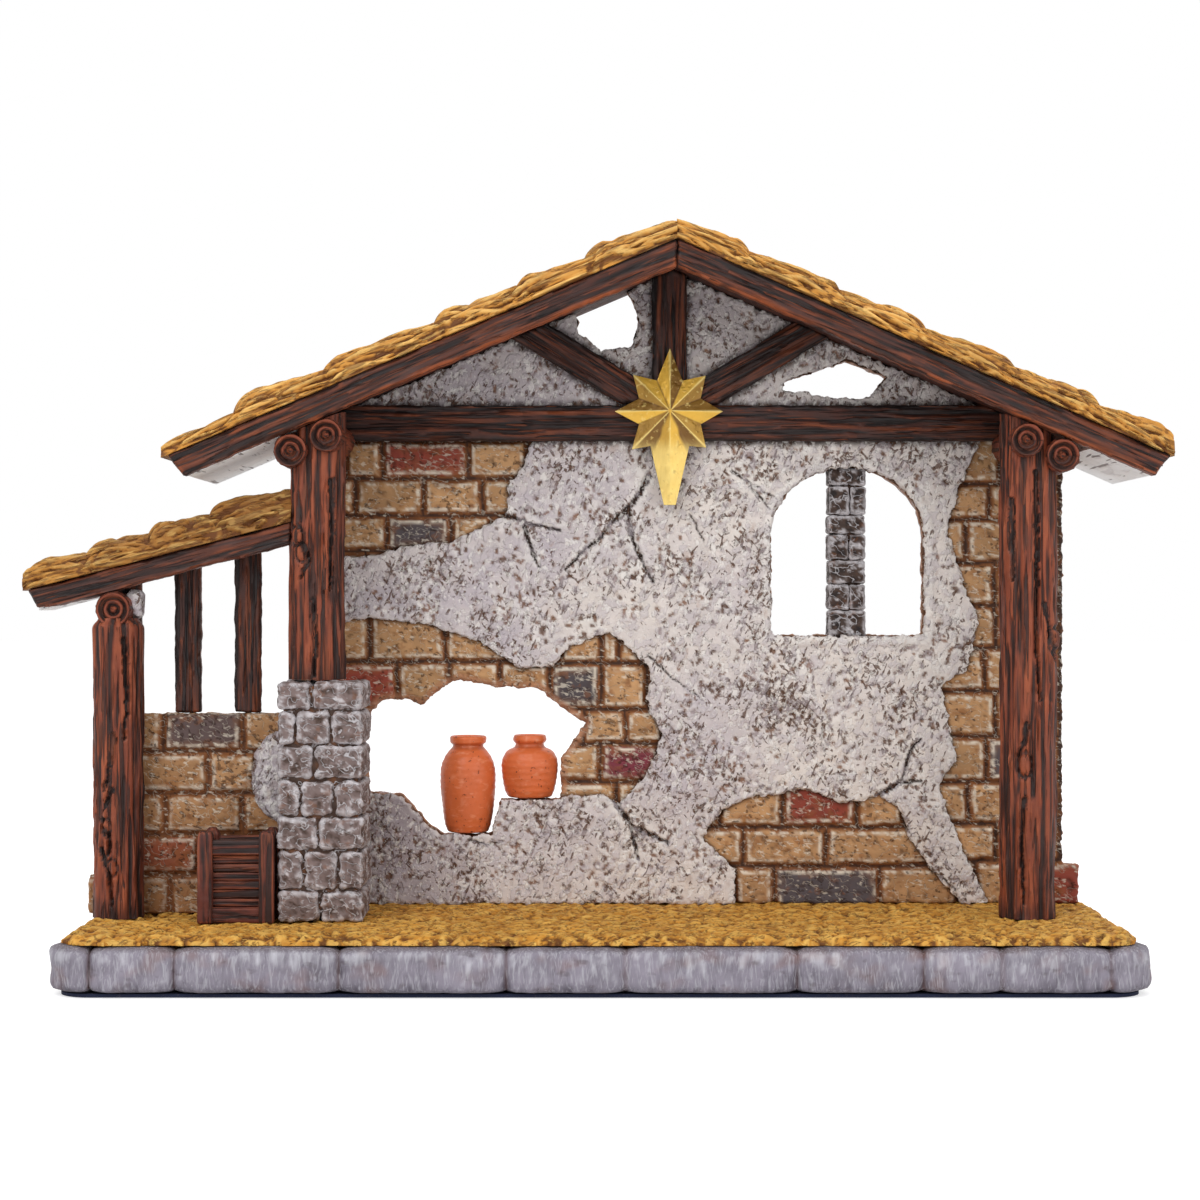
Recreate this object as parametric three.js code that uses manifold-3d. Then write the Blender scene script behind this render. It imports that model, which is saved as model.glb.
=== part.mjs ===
// A ruined stable for a nativity scene: a resin casting, painted by hand.
// Millimetres, +Z up. The open front faces -Y. The origin is the middle of the underside.

import * as THREE from 'three';
import { mergeVertices } from 'three/addons/utils/BufferGeometryUtils.js';
import Module from 'manifold-3d';

const wasm = await Module();
wasm.setup();

// Glue gap between two pieces that touch.
const seat = 0.3;

// Edges come out of the mould a little broken.
const castEdge = 0.5;

// Plinth of rounded stones on a thin foam sheet, with straw on top.
const padThickness = 1;
const padInset = 4;
const plinthWidth = 326;
const plinthDepth = 103;
const plinthHeight = 13.4;
const plinthCornerRadius = 14;
const stoneBulge = 2.6;
const stoneRounding = 2.8;
const stoneNotch = 2;
const frontStoneShares = [25, 48, 49, 35, 50, 37, 23, 32];
const sideStoneCount = 4;
const backStoneCount = 8;
const strawThickness = 2.4;
const strawInset = 5;

// Back wall: a brick core with a coat of plaster on its front. Heights are above the straw.
const wallLeft = -97;
const wallRight = 150;
const wallRearMargin = 9;
const coreThickness = 10.7;
const coatThickness = 2;
const coatDip = 0.6;
const coatDipLength = 30;
const crackWidth = 1.9;
const branchWidth = 1.1;
const crackDepth = 1.1;
const wallToe = 5;
const brickHeight = 12.3;
const brickLength = 25;
const jointWidth = 1.4;
const jointDepth = 0.9;

// Arched window with a stone mullion.
const windowX = 80;
const windowWidth = 49.4;
const sillHeight = 86.9;
const springHeight = 119.5;
const archRise = 21.8;
const archRimWidth = 2.6;
const archRimProud = 0.8;
const mullionWidth = 12;
const mullionDepth = 9;
const mullionCourses = 7;

// Roof: the line along the tops of the rafters, its boards and its thatch.
const ridgeX = 23.6;
const ridgeHeight = 208.9;
const leftOverhang = 35;
const rightOverhang = 24.4;
const eaveHeight = 142.7;
const roofDepth = 61;
const roofRearMargin = 5;
const rafterHeight = 8.4;
const rafterDepth = 5;
const rafterEndCut = 5;
const deckThickness = 3.8;
const thatchOverhang = 1.6;
const thatchProud = 1.5;
const thatchThin = 4.6;
const thatchThick = 8.6;
const thatchRounding = 2.6;
const bundleWidth = 14;
const strandWidth = 4;
const strandHeight = 1.2;

// Timbers on the gable.
const gableTimberDepth = 3;
const beamHeight = 11.6;
const beamBottom = 149.6;
const beamLeftInset = 2;
const beamRightInset = 4;
const kingPostX = 22.4;
const kingPostWidth = 11.3;
const braceWidth = 10;
const bracePitch = 0.6;

// Posts under the roof.
const postWidth = 16.4;
const postDepth = 15;
const leftPostX = -86.8;
const rightPostX = 131.9;
const purlinRadius = 5.1;
const purlinSetback = 2;
const purlinClearance = 0.7;
const leftPurlinOffset = -8;
const rightPurlinOffset = -1.1;

// Pier of rough blocks under the left post.
const pierWidth = 25.6;
const pierDepth = 26;
const pierHeight = 73.4;
const pierCourses = 7;
const pierProud = 2.5;
const pierShift = 1.7;

// Lean-to on the left.
const leanEaveX = -176.6;
const leanEaveHeight = 101.6;
const leanPitch = 0.258;
const leanRafterHeight = 7;
const leanRafterDepth = 4.6;
const leanSetback = 8;
const leanRafterTail = 34;
const leanDepth = 26;
const leanDeckThickness = 2.6;
const leanThatchThin = 4.8;
const leanThatchThick = 8;
const leanThatchGrowth = 0.45;
const leanPurlinRadius = 5.4;
const leanPurlinProud = 1;
const cornerPostX = -148;
const cornerPostWidth = 14.6;
const cornerPostDepth = 13;
const cornerPostProud = 2;
const leanPurlinX = -150;
const lowWallRight = -98.8;
const lowWallLeft = -146;
const lowWallHeight = 62.8;
const lowWallThickness = 8;
const lowWallSetback = 20;
const lowWallToe = 14.3;
const patchDrop = 5;
const patchWidth = 10;
const patchHeight = 28.8;
const patchThickness = 1.5;
const slatWidth = 8.3;
const slatDepth = 3.6;
const slatPitch = 18.8;
const slatCount = 3;
const firstSlatX = -110.8;

// Fittings.
const starX = 22.4;
const starHeight = 159;
const starCrown = 5;
const starEdge = 1.4;
const starTips = [17, 16.2, 20.2, 16.6, 17.6, 17.2, 30, 16.4];
const starTail = 6;
const starTailEnd = 1.9;
const starWaist = 10.7;
const starTailWaist = 12.7;
const starTailSpread = 0.12;
const tallJar = {
  x: -43, ledge: 22.6, foot: 6.3, belly: 8.8, bellyHeight: 17, neck: 4.9, lip: 6, height: 29.5,
};
const roundJar = {
  x: -22.9, ledge: 33.9, foot: 7.2, belly: 9, bellyHeight: 10.4, neck: 4.6, lip: 5.5, height: 19,
};
const jarLipHeight = 1.4;
const jarNeckHeight = 2.6;
const jarMouthDepth = 3;
const jarWall = 1.3;
const feedBoxX = -110.6;
const feedBoxWidth = 23.2;
const feedBoxDepth = 18;
const feedBoxHeight = 25.4;
const feedBoxWall = 2.4;
const feedBoxFloor = 5;
const feedBoxPost = 4.6;
const feedBoxPostProud = 2.5;
const feedBoxRail = 4;
const feedBoxSunk = 0.8;
const feedBoxGap = 6.6;

// Places that follow from the sizes above.
const plinthBottom = padThickness + seat;
const plinthTop = plinthBottom + plinthHeight;
const ground = plinthTop + seat + strawThickness;
const wallBack = plinthDepth / 2 - wallRearMargin;
const coreFront = wallBack - coreThickness;
const wallFront = coreFront - seat - coatThickness;
const roofBack = plinthDepth / 2 - roofRearMargin;
const verge = roofBack - roofDepth;
const leftEaveX = wallLeft - leftOverhang;
const rightEaveX = wallRight + rightOverhang;
const gableTimberFront = wallFront - seat - gableTimberDepth;
const postFront = verge + rafterDepth + seat;
const leanFront = verge + leanSetback;
const lowWallFront = verge + lowWallSetback;
const slatFront = lowWallFront + (lowWallThickness - slatDepth) / 2;
const leftSlope = (ridgeHeight - eaveHeight) / (ridgeX - leftEaveX);
const rightSlope = (ridgeHeight - eaveHeight) / (rightEaveX - ridgeX);

// Height of the top of the main rafters, of the underside of the boards on them, and of
// the same two lines on the lean-to.
const roofTop = (x) => ridgeHeight - (x < ridgeX ? leftSlope * (ridgeX - x) : rightSlope * (x - ridgeX));
const deckUnder = (x) => roofTop(x) - deckThickness;
const rafterUnder = (x) => roofTop(x) - rafterHeight;
const leanTop = (x) => leanEaveHeight + leanPitch * (x - leanEaveX);
const leanDeckUnder = (x) => leanTop(x) - leanDeckThickness;
const leanRafterUnder = (x) => leanTop(x) - leanRafterHeight;

// Outlines of what time has broken, [x, height above the straw].
const breach = [
  [-74.5, 62.5], [-70, 66.5], [-62, 66.5], [-58, 64.3], [-52, 69.8], [-45.5, 73], [-34, 70.4],
  [-20, 70.1], [-13.2, 64.3], [-4.8, 58.4], [-10, 50.7], [-12.6, 46.5], [-12.6, roundJar.ledge],
  [-32, roundJar.ledge], [-34, 27], [-35.3, tallJar.ledge], [-51, tallJar.ledge], [-55.2, 25.2],
  [-60.4, 31], [-64, 35.2], [-75.2, 36.2], [-76.5, 52.3],
];
const gableHoles = [
  [[-8.7, 194], [7.1, 201], [10.7, 195.3], [12.6, 188.9], [10.7, 180.5], [0.6, 179.2], [-6.8, 184.7]],
  [[57.8, 166.6], [60.7, 169.8], [71.3, 173.1], [80, 176.3], [93, 171], [87.1, 164], [78.1, 163.4]],
];
const leftPatch = [
  [wallLeft - 1, 150], [-21.6, 150.1], [-25.2, 141.1], [-29.7, 135.3], [-29.7, 126.3], [-48.1, 117.2],
  [-62, 116.3], [-73.6, 112.7], [wallLeft - 1, 112],
];
const breachPatch = [
  [wallLeft - 1, 90], [-74.2, 92.7], [-56.2, 90.8], [-38.7, 84.9], [-25.8, 76.6], [-15.5, 77.2],
  [-9.4, 83.7], [3.2, 88.2], [16.1, 76.9], [15.5, 64], [20, 55], [15.5, 42.7], [6.5, 32.7],
  [0.6, 35.6], [-16, 35.2], [-30, 40], [-60, 40], [-76, 35], [wallLeft - 1, 36],
];
const rightPatch = [
  [123, 151], [116.5, 135.3], [112, 121.1], [119.4, 98.5], [122.3, 93.3], [118.8, 75.9],
  [110.1, 71.7], [115.2, 46.5], [109.1, 38.8], [116.2, 20.7], [126, -1],
  [wallRight + wallToe + 1, -1], [wallRight + wallToe + 1, 151],
];
const footPatch = [
  [32.9, 22], [39.4, 30.1], [47.4, 34.3], [67.1, 37.5], [78.1, 32.7], [90.7, 35.2], [97.2, 31],
  [100.1, 21.7], [105.2, 13.6], [118, -1], [43.6, -1], [43.6, 11.4],
];

// The main cracks in the plaster and their branches, each from its wide end to its fine one.
const cracks = [
  [[15.8, 138.2], [9.7, 128.8], [0.6, 118.8], [-11, 107.9]],
  [[-32.6, 126.6], [-22.6, 123], [-12.6, 121.1]],
  [[4.8, 33.6], [10, 25.6], [12.3, 14.9]],
  [[89.4, 34.9], [98.1, 40.1], [99.7, 49.1], [103.6, 53.6]],
];
const crackBranches = [
  [[9.7, 128.8], [10, 120.4], [12.9, 112.1], [17.1, 104.6]],
  [[-24.9, 123.8], [-22.6, 116.3], [-20, 109.5]],
  [[10, 25.6], [16.5, 22.6], [21.9, 20.1]],
];

// Rows of straw bundles start at these distances in from the eaves.
const leftButts = [-2, 24, 51, 86, 107.5, 133].map((inset) => leftEaveX + inset);
const rightButts = [-0.9, 23.4, 47.4, 75.4, 100.4, 128.4].map((inset) => rightEaveX - inset);
const leanButts = [-1.4, 18.1, 37.6, 57.6].map((inset) => leanEaveX + inset);

// A geometry with its shared corners merged.
function merged(geometry) {
  geometry.deleteAttribute('normal');
  geometry.deleteAttribute('uv');
  return mergeVertices(geometry);
}

// A solid that can be cut and joined.
function solidOf(geometry) {
  const bare = merged(geometry);
  const mesh = new wasm.Mesh({
    numProp: 3,
    vertProperties: Float32Array.from(bare.attributes.position.array),
    triVerts: Uint32Array.from(bare.index.array),
  });
  return new wasm.Manifold(mesh);
}

function geometryOf(solid) {
  const mesh = solid.getMesh();
  const geometry = new THREE.BufferGeometry();
  geometry.setAttribute('position', new THREE.BufferAttribute(mesh.vertProperties, 3));
  geometry.setIndex(new THREE.BufferAttribute(mesh.triVerts, 1));
  return geometry;
}

function join(geometries) {
  return geometryOf(wasm.Manifold.union(geometries.map(solidOf)));
}

function cut(geometry, tools) {
  return geometryOf(solidOf(geometry).subtract(wasm.Manifold.union(tools.map(solidOf))));
}

function common(geometry, other) {
  return geometryOf(solidOf(geometry).intersect(solidOf(other)));
}

function outline(points) {
  return new THREE.Shape(points.map(([x, height]) => new THREE.Vector2(x, height)));
}

// A board that stands: its outline is drawn in X and Z, and it runs from front to back along Y.
function board(shape, front, back, bevel = 0) {
  const geometry = new THREE.ExtrudeGeometry(shape, {
    depth: back - front - 2 * bevel,
    bevelEnabled: bevel > 0,
    bevelSize: bevel,
    bevelThickness: bevel,
    bevelOffset: -bevel,
    bevelSegments: 1,
    curveSegments: 12,
  });
  geometry.rotateX(Math.PI / 2);
  geometry.translate(0, back - bevel, 0);
  return geometry;
}

function block(x0, x1, front, back, bottom, top) {
  const geometry = new THREE.BoxGeometry(x1 - x0, back - front, top - bottom);
  geometry.translate((x0 + x1) / 2, (front + back) / 2, (bottom + top) / 2);
  return geometry;
}

// A closed skin over rings of points, lowest ring first, each ring anticlockwise from above.
function loft(rings) {
  const count = rings[0].length;
  const index = [];
  for (let ring = 0; ring < rings.length - 1; ring++) {
    for (let k = 0; k < count; k++) {
      const low = ring * count + k;
      const lowNext = ring * count + (k + 1) % count;
      index.push(low, lowNext, lowNext + count, low, lowNext + count, low + count);
    }
  }
  const top = (rings.length - 1) * count;
  const flat = (ring) => ring.map((point) => new THREE.Vector2(point.x, point.y));
  for (const [a, b, c] of THREE.ShapeUtils.triangulateShape(flat(rings[0]), [])) {
    index.push(a, c, b);
  }
  for (const [a, b, c] of THREE.ShapeUtils.triangulateShape(flat(rings.at(-1)), [])) {
    index.push(top + a, top + b, top + c);
  }
  const geometry = new THREE.BufferGeometry().setFromPoints(rings.flat());
  geometry.setIndex(index);
  return geometry;
}

// A profile of [radius, height] turned round the Z axis.
function revolve(profile, segments) {
  const points = profile.map(([radius, height]) => new THREE.Vector2(radius, height));
  const geometry = new THREE.LatheGeometry(points, segments);
  geometry.rotateX(Math.PI / 2);
  return geometry;
}

function roundedRectangle(halfWidth, halfDepth, radius) {
  const path = new THREE.Path();
  path.moveTo(-halfWidth + radius, -halfDepth);
  path.lineTo(halfWidth - radius, -halfDepth);
  path.absarc(halfWidth - radius, -halfDepth + radius, radius, -Math.PI / 2, 0);
  path.lineTo(halfWidth, halfDepth - radius);
  path.absarc(halfWidth - radius, halfDepth - radius, radius, 0, Math.PI / 2);
  path.lineTo(-halfWidth + radius, halfDepth);
  path.absarc(-halfWidth + radius, halfDepth - radius, radius, Math.PI / 2, Math.PI);
  path.lineTo(-halfWidth, -halfDepth + radius);
  path.absarc(-halfWidth + radius, -halfDepth + radius, radius, Math.PI, Math.PI * 1.5);
  return path;
}

// Where one stone of the rim ends and the next begins, as shares of the way round.
function rimJoints() {
  const along = plinthWidth - 2 * plinthCornerRadius;
  const across = plinthDepth - 2 * plinthCornerRadius + Math.PI * plinthCornerRadius;
  const shares = frontStoneShares.reduce((sum, share) => sum + share, 0);
  const lengths = [
    ...frontStoneShares.map((share) => along * share / shares),
    ...Array(sideStoneCount).fill(across / sideStoneCount),
    ...Array(backStoneCount).fill(along / backStoneCount),
    ...Array(sideStoneCount).fill(across / sideStoneCount),
  ];
  const joints = [0];
  lengths.forEach((length) => joints.push(joints.at(-1) + length / (2 * along + 2 * across)));
  return joints;
}

// The rim at one height: stones that bulge between their joints.
function rimRing(inset, bulge, height, notch = 0) {
  const pointsPerStone = 6;
  const rim = roundedRectangle(
    plinthWidth / 2 - inset, plinthDepth / 2 - inset, plinthCornerRadius - inset);
  const joints = rimJoints();
  const ring = [];
  for (let stone = 0; stone < joints.length - 1; stone++) {
    for (let k = 0; k < pointsPerStone; k++) {
      const step = k / pointsPerStone;
      const along = joints[stone] + (joints[stone + 1] - joints[stone]) * step;
      const point = rim.getPointAt(along % 1);
      const tangent = rim.getTangentAt(along % 1);
      const hollow = 1 - Math.sqrt(Math.sin(Math.PI * step));
      ring.push(new THREE.Vector3(
        point.x - tangent.y * bulge * hollow, point.y + tangent.x * bulge * hollow,
        height - notch * hollow));
    }
  }
  return ring;
}

function basePad() {
  const pad = roundedRectangle(
    plinthWidth / 2 - padInset, plinthDepth / 2 - padInset, plinthCornerRadius - padInset);
  return new THREE.ExtrudeGeometry(new THREE.Shape(pad.getPoints(6)), {
    depth: padThickness,
    bevelEnabled: false,
  });
}

function basePlinth() {
  const rounding = stoneRounding;
  return loft([
    rimRing(rounding, stoneBulge / 2, 0),
    rimRing(rounding / 4, stoneBulge, plinthHeight * 0.25),
    rimRing(0, stoneBulge, plinthHeight * 0.55),
    rimRing(rounding / 3, stoneBulge, plinthHeight * 0.85, stoneNotch / 2),
    rimRing(rounding, stoneBulge / 2, plinthHeight, stoneNotch),
  ]);
}

// Straw that runs out unevenly over the stones.
function strawGround() {
  const points = 60;
  const ring = (inset, height) => {
    const edge = roundedRectangle(
      plinthWidth / 2 - inset, plinthDepth / 2 - inset, plinthCornerRadius - strawInset);
    return Array.from({ length: points }, (_, k) => {
      const point = edge.getPointAt(k / points);
      const fray = 0.012 * Math.sin(k * 2.4) + 0.006 * Math.sin(k * 5.1);
      return new THREE.Vector3(point.x * (1 - fray / 4), point.y * (1 - fray), height);
    });
  };
  return loft([ring(strawInset, 0), ring(strawInset + 1, strawThickness)]);
}

// The wall's whole outline, up to the underside of the roof boards.
function wallOutline() {
  return outline([
    [wallLeft, seat],
    [wallRight + wallToe, seat],
    [wallRight + wallToe, seat + brickHeight],
    [wallRight, seat + brickHeight],
    [wallRight, deckUnder(wallRight) - seat],
    [ridgeX, deckUnder(ridgeX) - seat],
    [wallLeft, deckUnder(wallLeft) - seat],
  ]);
}

// The arched window's outline, wider all round by spread.
function archOutline(spread) {
  const half = windowWidth / 2 + spread;
  const shape = new THREE.Shape();
  shape.moveTo(windowX - half, sillHeight - spread);
  shape.lineTo(windowX + half, sillHeight - spread);
  shape.lineTo(windowX + half, springHeight);
  shape.absellipse(windowX, springHeight, half, archRise + spread, 0, Math.PI);
  return shape;
}

// What goes right through the wall.
function wallOpenings(front, back) {
  const holes = [...gableHoles, breach].map((points) => board(outline(points), front, back));
  return [...holes, board(archOutline(0), front, back)];
}

// Joints between the bricks of a wall, cut into its face wherever the patches lie bare.
function brickJoints(left, right, top, face, patches) {
  const back = face + jointDepth;
  const front = face - 1;
  const joints = [];
  for (let row = 0; row * brickHeight < top; row++) {
    const bottom = seat + row * brickHeight;
    if (row > 0) {
      joints.push(block(left, right, front, back, bottom - jointWidth / 2, bottom + jointWidth / 2));
    }
    const stagger = (row % 2) * brickLength / 2;
    for (let x = left + stagger + brickLength / 2; x < right; x += brickLength) {
      joints.push(block(x - jointWidth / 2, x + jointWidth / 2, front, back, bottom, bottom + brickHeight));
    }
  }
  const bare = patches.map((patch) => board(outline(patch), front - 1, back + 1));
  return common(join(joints), join(bare));
}

function brickWall() {
  const core = cut(board(wallOutline(), coreFront, wallBack), wallOpenings(coreFront - 1, wallBack + 1));
  const joints = brickJoints(
    wallLeft, wallRight + wallToe, ridgeHeight, coreFront,
    [leftPatch, breachPatch, rightPatch, footPatch]);
  return cut(core, [joints]);
}

// A crack's outline: it runs along a line and tapers to its fine end.
function crackOutline(line, width) {
  const taper = 0.75;
  const sides = [[], []];
  line.forEach(([x, height], k) => {
    const [fromX, fromHeight] = line[Math.max(k - 1, 0)];
    const [toX, toHeight] = line[Math.min(k + 1, line.length - 1)];
    const length = Math.hypot(toX - fromX, toHeight - fromHeight);
    const half = width / 2 * (1 - taper * k / (line.length - 1));
    const acrossX = (toHeight - fromHeight) / length * half;
    const acrossHeight = (fromX - toX) / length * half;
    sides[0].push([x + acrossX, height + acrossHeight]);
    sides[1].unshift([x - acrossX, height - acrossHeight]);
  });
  return outline(sides.flat());
}

// How far the trowel has left the plaster's face back from its plane.
function trowelDip(x, height) {
  const turn = 2 * Math.PI / coatDipLength;
  const across = Math.sin(x * turn + 2 * Math.sin(height * turn / 3));
  const up = Math.sin(height * turn + x * turn / 3);
  return coatDip / 2 * (1 + across * up);
}

// A block of plaster whose face has the dips of the trowel.
function trowelled(back) {
  const facet = coatDipLength / 3;
  const net = [];
  for (let x = wallLeft - facet; x < wallRight + wallToe + facet; x += facet) {
    const column = [];
    for (let height = -facet; height < ridgeHeight + facet; height += facet) {
      column.push(new THREE.Vector3(x, height, -wallFront - trowelDip(x, height)));
    }
    net.push(column);
  }
  const relief = slab(net, () => -back);
  relief.rotateX(Math.PI / 2);
  return relief;
}

function plasterCoat() {
  const back = coreFront - seat;
  const patches = [leftPatch, breachPatch, rightPatch, footPatch];
  const tools = patches.map((patch) => board(outline(patch), wallFront - 1, back + 1));
  const groove = (width) => (line) => (
    board(crackOutline(line, width), wallFront - 1, wallFront + crackDepth));
  const grooves = [...cracks.map(groove(crackWidth)), ...crackBranches.map(groove(branchWidth))];
  const coat = cut(
    common(board(wallOutline(), wallFront - 1, back), trowelled(back + 1)),
    [...tools, ...grooves, ...wallOpenings(wallFront - 2, back + 1)]);
  const rim = archOutline(archRimWidth);
  rim.holes.push(new THREE.Path(archOutline(0).getPoints(12)));
  return join([coat, board(rim, wallFront - archRimProud, back)]);
}

// A column of rough blocks with open joints round a core, its foot at zero.
function blockColumn(width, depth, height, courses, splits) {
  const gap = 0.9;
  const courseHeight = height / courses;
  const stones = [block(-width / 2 + gap, width / 2 - gap, -depth / 2 + gap, depth / 2 - gap, 0, height)];
  for (let course = 0; course < courses; course++) {
    const cuts = [0, ...splits[course % splits.length], 1].map((share) => (share - 0.5) * width);
    for (let k = 0; k < cuts.length - 1; k++) {
      const left = cuts[k] + (k > 0 ? gap / 2 : 0);
      const right = cuts[k + 1] - (k < cuts.length - 2 ? gap / 2 : 0);
      const stone = new THREE.ExtrudeGeometry(
        outline([[left, -depth / 2], [right, -depth / 2], [right, depth / 2], [left, depth / 2]]),
        {
          depth: courseHeight - gap - 2 * castEdge,
          bevelSize: castEdge,
          bevelThickness: castEdge,
          bevelOffset: -castEdge,
          bevelSegments: 1,
        });
      stone.translate(0, 0, course * courseHeight + gap / 2 + castEdge);
      stones.push(stone);
    }
  }
  return join(stones);
}

function pier() {
  const splits = [[0.45], [0.25, 0.62], [0.45], [0.22, 0.64], [0.48], [0.25, 0.62], [0.4]];
  return blockColumn(pierWidth, pierDepth, pierHeight, pierCourses, splits);
}

function mullion() {
  const height = springHeight + archRise - sillHeight - 2 * seat - 1;
  return blockColumn(mullionWidth, mullionDepth, height, mullionCourses, [[], [0.5]]);
}

// A hewn timber standing on its end: a rounded square section that swells and narrows.
function hewnTimber(width, depth, length, phase) {
  const sides = 12;
  const stations = Math.max(3, Math.round(length / 14));
  const squareness = 0.55;
  const waste = 0.05;
  const rings = [];
  for (let station = 0; station <= stations; station++) {
    const wave = 1 - waste * (0.5 + 0.5 * Math.sin(phase + station * 1.9));
    const ring = [];
    for (let side = 0; side < sides; side++) {
      const angle = 2 * Math.PI * (side + 0.5) / sides;
      const across = Math.sign(Math.cos(angle)) * Math.abs(Math.cos(angle)) ** squareness;
      const deep = Math.sign(Math.sin(angle)) * Math.abs(Math.sin(angle)) ** squareness;
      ring.push(new THREE.Vector3(
        across * width / 2 * wave, deep * depth / 2 * wave, length * station / stations));
    }
    rings.push(ring);
  }
  return loft(rings);
}

// A log with a ring cut into its end.
function log(radius, length) {
  const groove = 0.6;
  const round = 0.8;
  return revolve([
    [0, 0], [radius * 0.35, 0], [radius * 0.45, groove], [radius * 0.55, 0], [radius * 0.85, 0],
    [radius, round], [radius * 0.96, length / 2], [radius, length - round], [radius * 0.85, length],
    [0, length],
  ], 12);
}

// Centre heights of the logs that hang close under the rafters.
function purlinHeight(x) {
  const slope = x < ridgeX ? leftSlope : rightSlope;
  return rafterUnder(x) - (purlinRadius + seat) * Math.hypot(1, slope);
}

function leanPurlinHeight() {
  return leanRafterUnder(leanPurlinX) - (leanPurlinRadius + seat) * Math.hypot(1, leanPitch);
}

// Bed for a log: the space it needs where it crosses another piece.
function logBed(radius, x, height) {
  const bed = revolve([[0, 0], [radius + seat, 0], [radius + seat, roofDepth], [0, roofDepth]], 24);
  bed.rotateX(-Math.PI / 2);
  bed.translate(x, verge - 2, height);
  return bed;
}

// Two logs lie side by side on each post.
const purlinSpacing = 2 * purlinRadius + purlinClearance;
const purlinXs = {
  purlin_outer_left: leftPostX + leftPurlinOffset,
  purlin_inner_left: leftPostX + leftPurlinOffset + purlinSpacing,
  purlin_inner_right: rightPostX + rightPurlinOffset,
  purlin_outer_right: rightPostX + rightPurlinOffset + purlinSpacing,
};

// A post under the roof: cut to the rafter's slope and bedded round its two logs.
function roofPost(x, foot, phase) {
  const top = rafterUnder(x) + postWidth;
  const post = hewnTimber(postWidth, postDepth, top - foot, phase);
  post.translate(x, postFront + postDepth / 2, foot);
  const left = x - postWidth;
  const right = x + postWidth;
  const above = board(
    outline([[left, rafterUnder(left)], [right, rafterUnder(right)], [right, top + 1 + postWidth],
      [left, top + 1 + postWidth]]),
    verge, roofBack);
  const beds = Object.values(purlinXs)
    .filter((logX) => Math.abs(logX - x) < postWidth)
    .map((logX) => logBed(purlinRadius, logX, purlinHeight(logX)));
  return cut(post, [above, ...beds]);
}

function cornerPost() {
  const top = leanPurlinHeight() - leanPurlinRadius / 2;
  const post = hewnTimber(cornerPostWidth, cornerPostDepth, top - seat, 1.2);
  post.translate(cornerPostX, leanFront + cornerPostDepth / 2 - cornerPostProud, seat);
  return cut(post, [logBed(leanPurlinRadius, leanPurlinX, leanPurlinHeight())]);
}

// One rafter from its foot at the eave to the ridge, its lower end cut back.
function rafter(eaveX, direction) {
  const ridge = ridgeX + direction * seat / 2;
  const cutX = eaveX - direction * rafterEndCut;
  return board(
    outline([[ridge, roofTop(ridge)], [eaveX, roofTop(eaveX)], [cutX, rafterUnder(cutX)],
      [ridge, rafterUnder(ridge)]]),
    verge, verge + rafterDepth, castEdge);
}

function roofDeck(eaveX, direction) {
  const ridge = ridgeX + direction * seat / 2;
  const low = eaveX - direction * thatchOverhang;
  return board(
    outline([[ridge, roofTop(ridge)], [low, roofTop(low)], [low, deckUnder(low)], [ridge, deckUnder(ridge)]]),
    verge + rafterDepth + seat, roofBack);
}

// The thick underside of the roof outside the wall, flush with the underside of the rafters.
function eave(eaveX, wallX, direction) {
  const inner = wallX + direction * seat;
  const outer = eaveX - direction * (thatchOverhang + castEdge);
  const foot = eaveX - direction * (rafterEndCut + castEdge);
  const under = (x) => deckUnder(x) - seat;
  return board(
    outline([[inner, under(inner)], [outer, under(outer)], [foot, rafterUnder(foot)],
      [inner, rafterUnder(inner)]]),
    verge + rafterDepth + seat, roofBack);
}

const leanRight = leftPostX - postWidth / 2 - seat;

function leanRafter() {
  const shape = new THREE.Shape();
  const bendX = leanEaveX + leanRafterTail;
  shape.moveTo(leanRight, leanTop(leanRight));
  shape.lineTo(leanEaveX, leanTop(leanEaveX));
  shape.lineTo(leanEaveX + leanRafterHeight * 0.4, leanTop(leanEaveX) - leanRafterHeight * 0.8);
  shape.quadraticCurveTo(
    leanEaveX + leanRafterTail * 0.4, leanTop(leanEaveX) - leanRafterHeight * 0.7,
    bendX, leanRafterUnder(bendX));
  shape.lineTo(leanRight, leanRafterUnder(leanRight));
  return board(shape, leanFront, leanFront + leanRafterDepth, castEdge);
}

function leanDeck() {
  const low = leanEaveX + thatchOverhang;
  return board(
    outline([[leanRight, leanTop(leanRight)], [low, leanTop(low)], [low, leanDeckUnder(low)],
      [leanRight, leanDeckUnder(leanRight)]]),
    leanFront + leanRafterDepth + seat, leanFront + leanDepth);
}

// The same under the lean-to's roof, out from its last slat.
function leanEave() {
  const inner = firstSlatX - (slatCount - 1) * slatPitch - slatWidth / 2 - seat;
  const outer = leanEaveX + thatchOverhang + castEdge;
  const foot = outer + castEdge;
  const under = (x) => leanDeckUnder(x) - seat;
  return board(
    outline([[inner, under(inner)], [outer, under(outer)], [foot, leanRafterUnder(foot)],
      [inner, leanRafterUnder(inner)]]),
    leanFront + leanRafterDepth + seat, leanFront + leanDepth);
}

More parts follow.
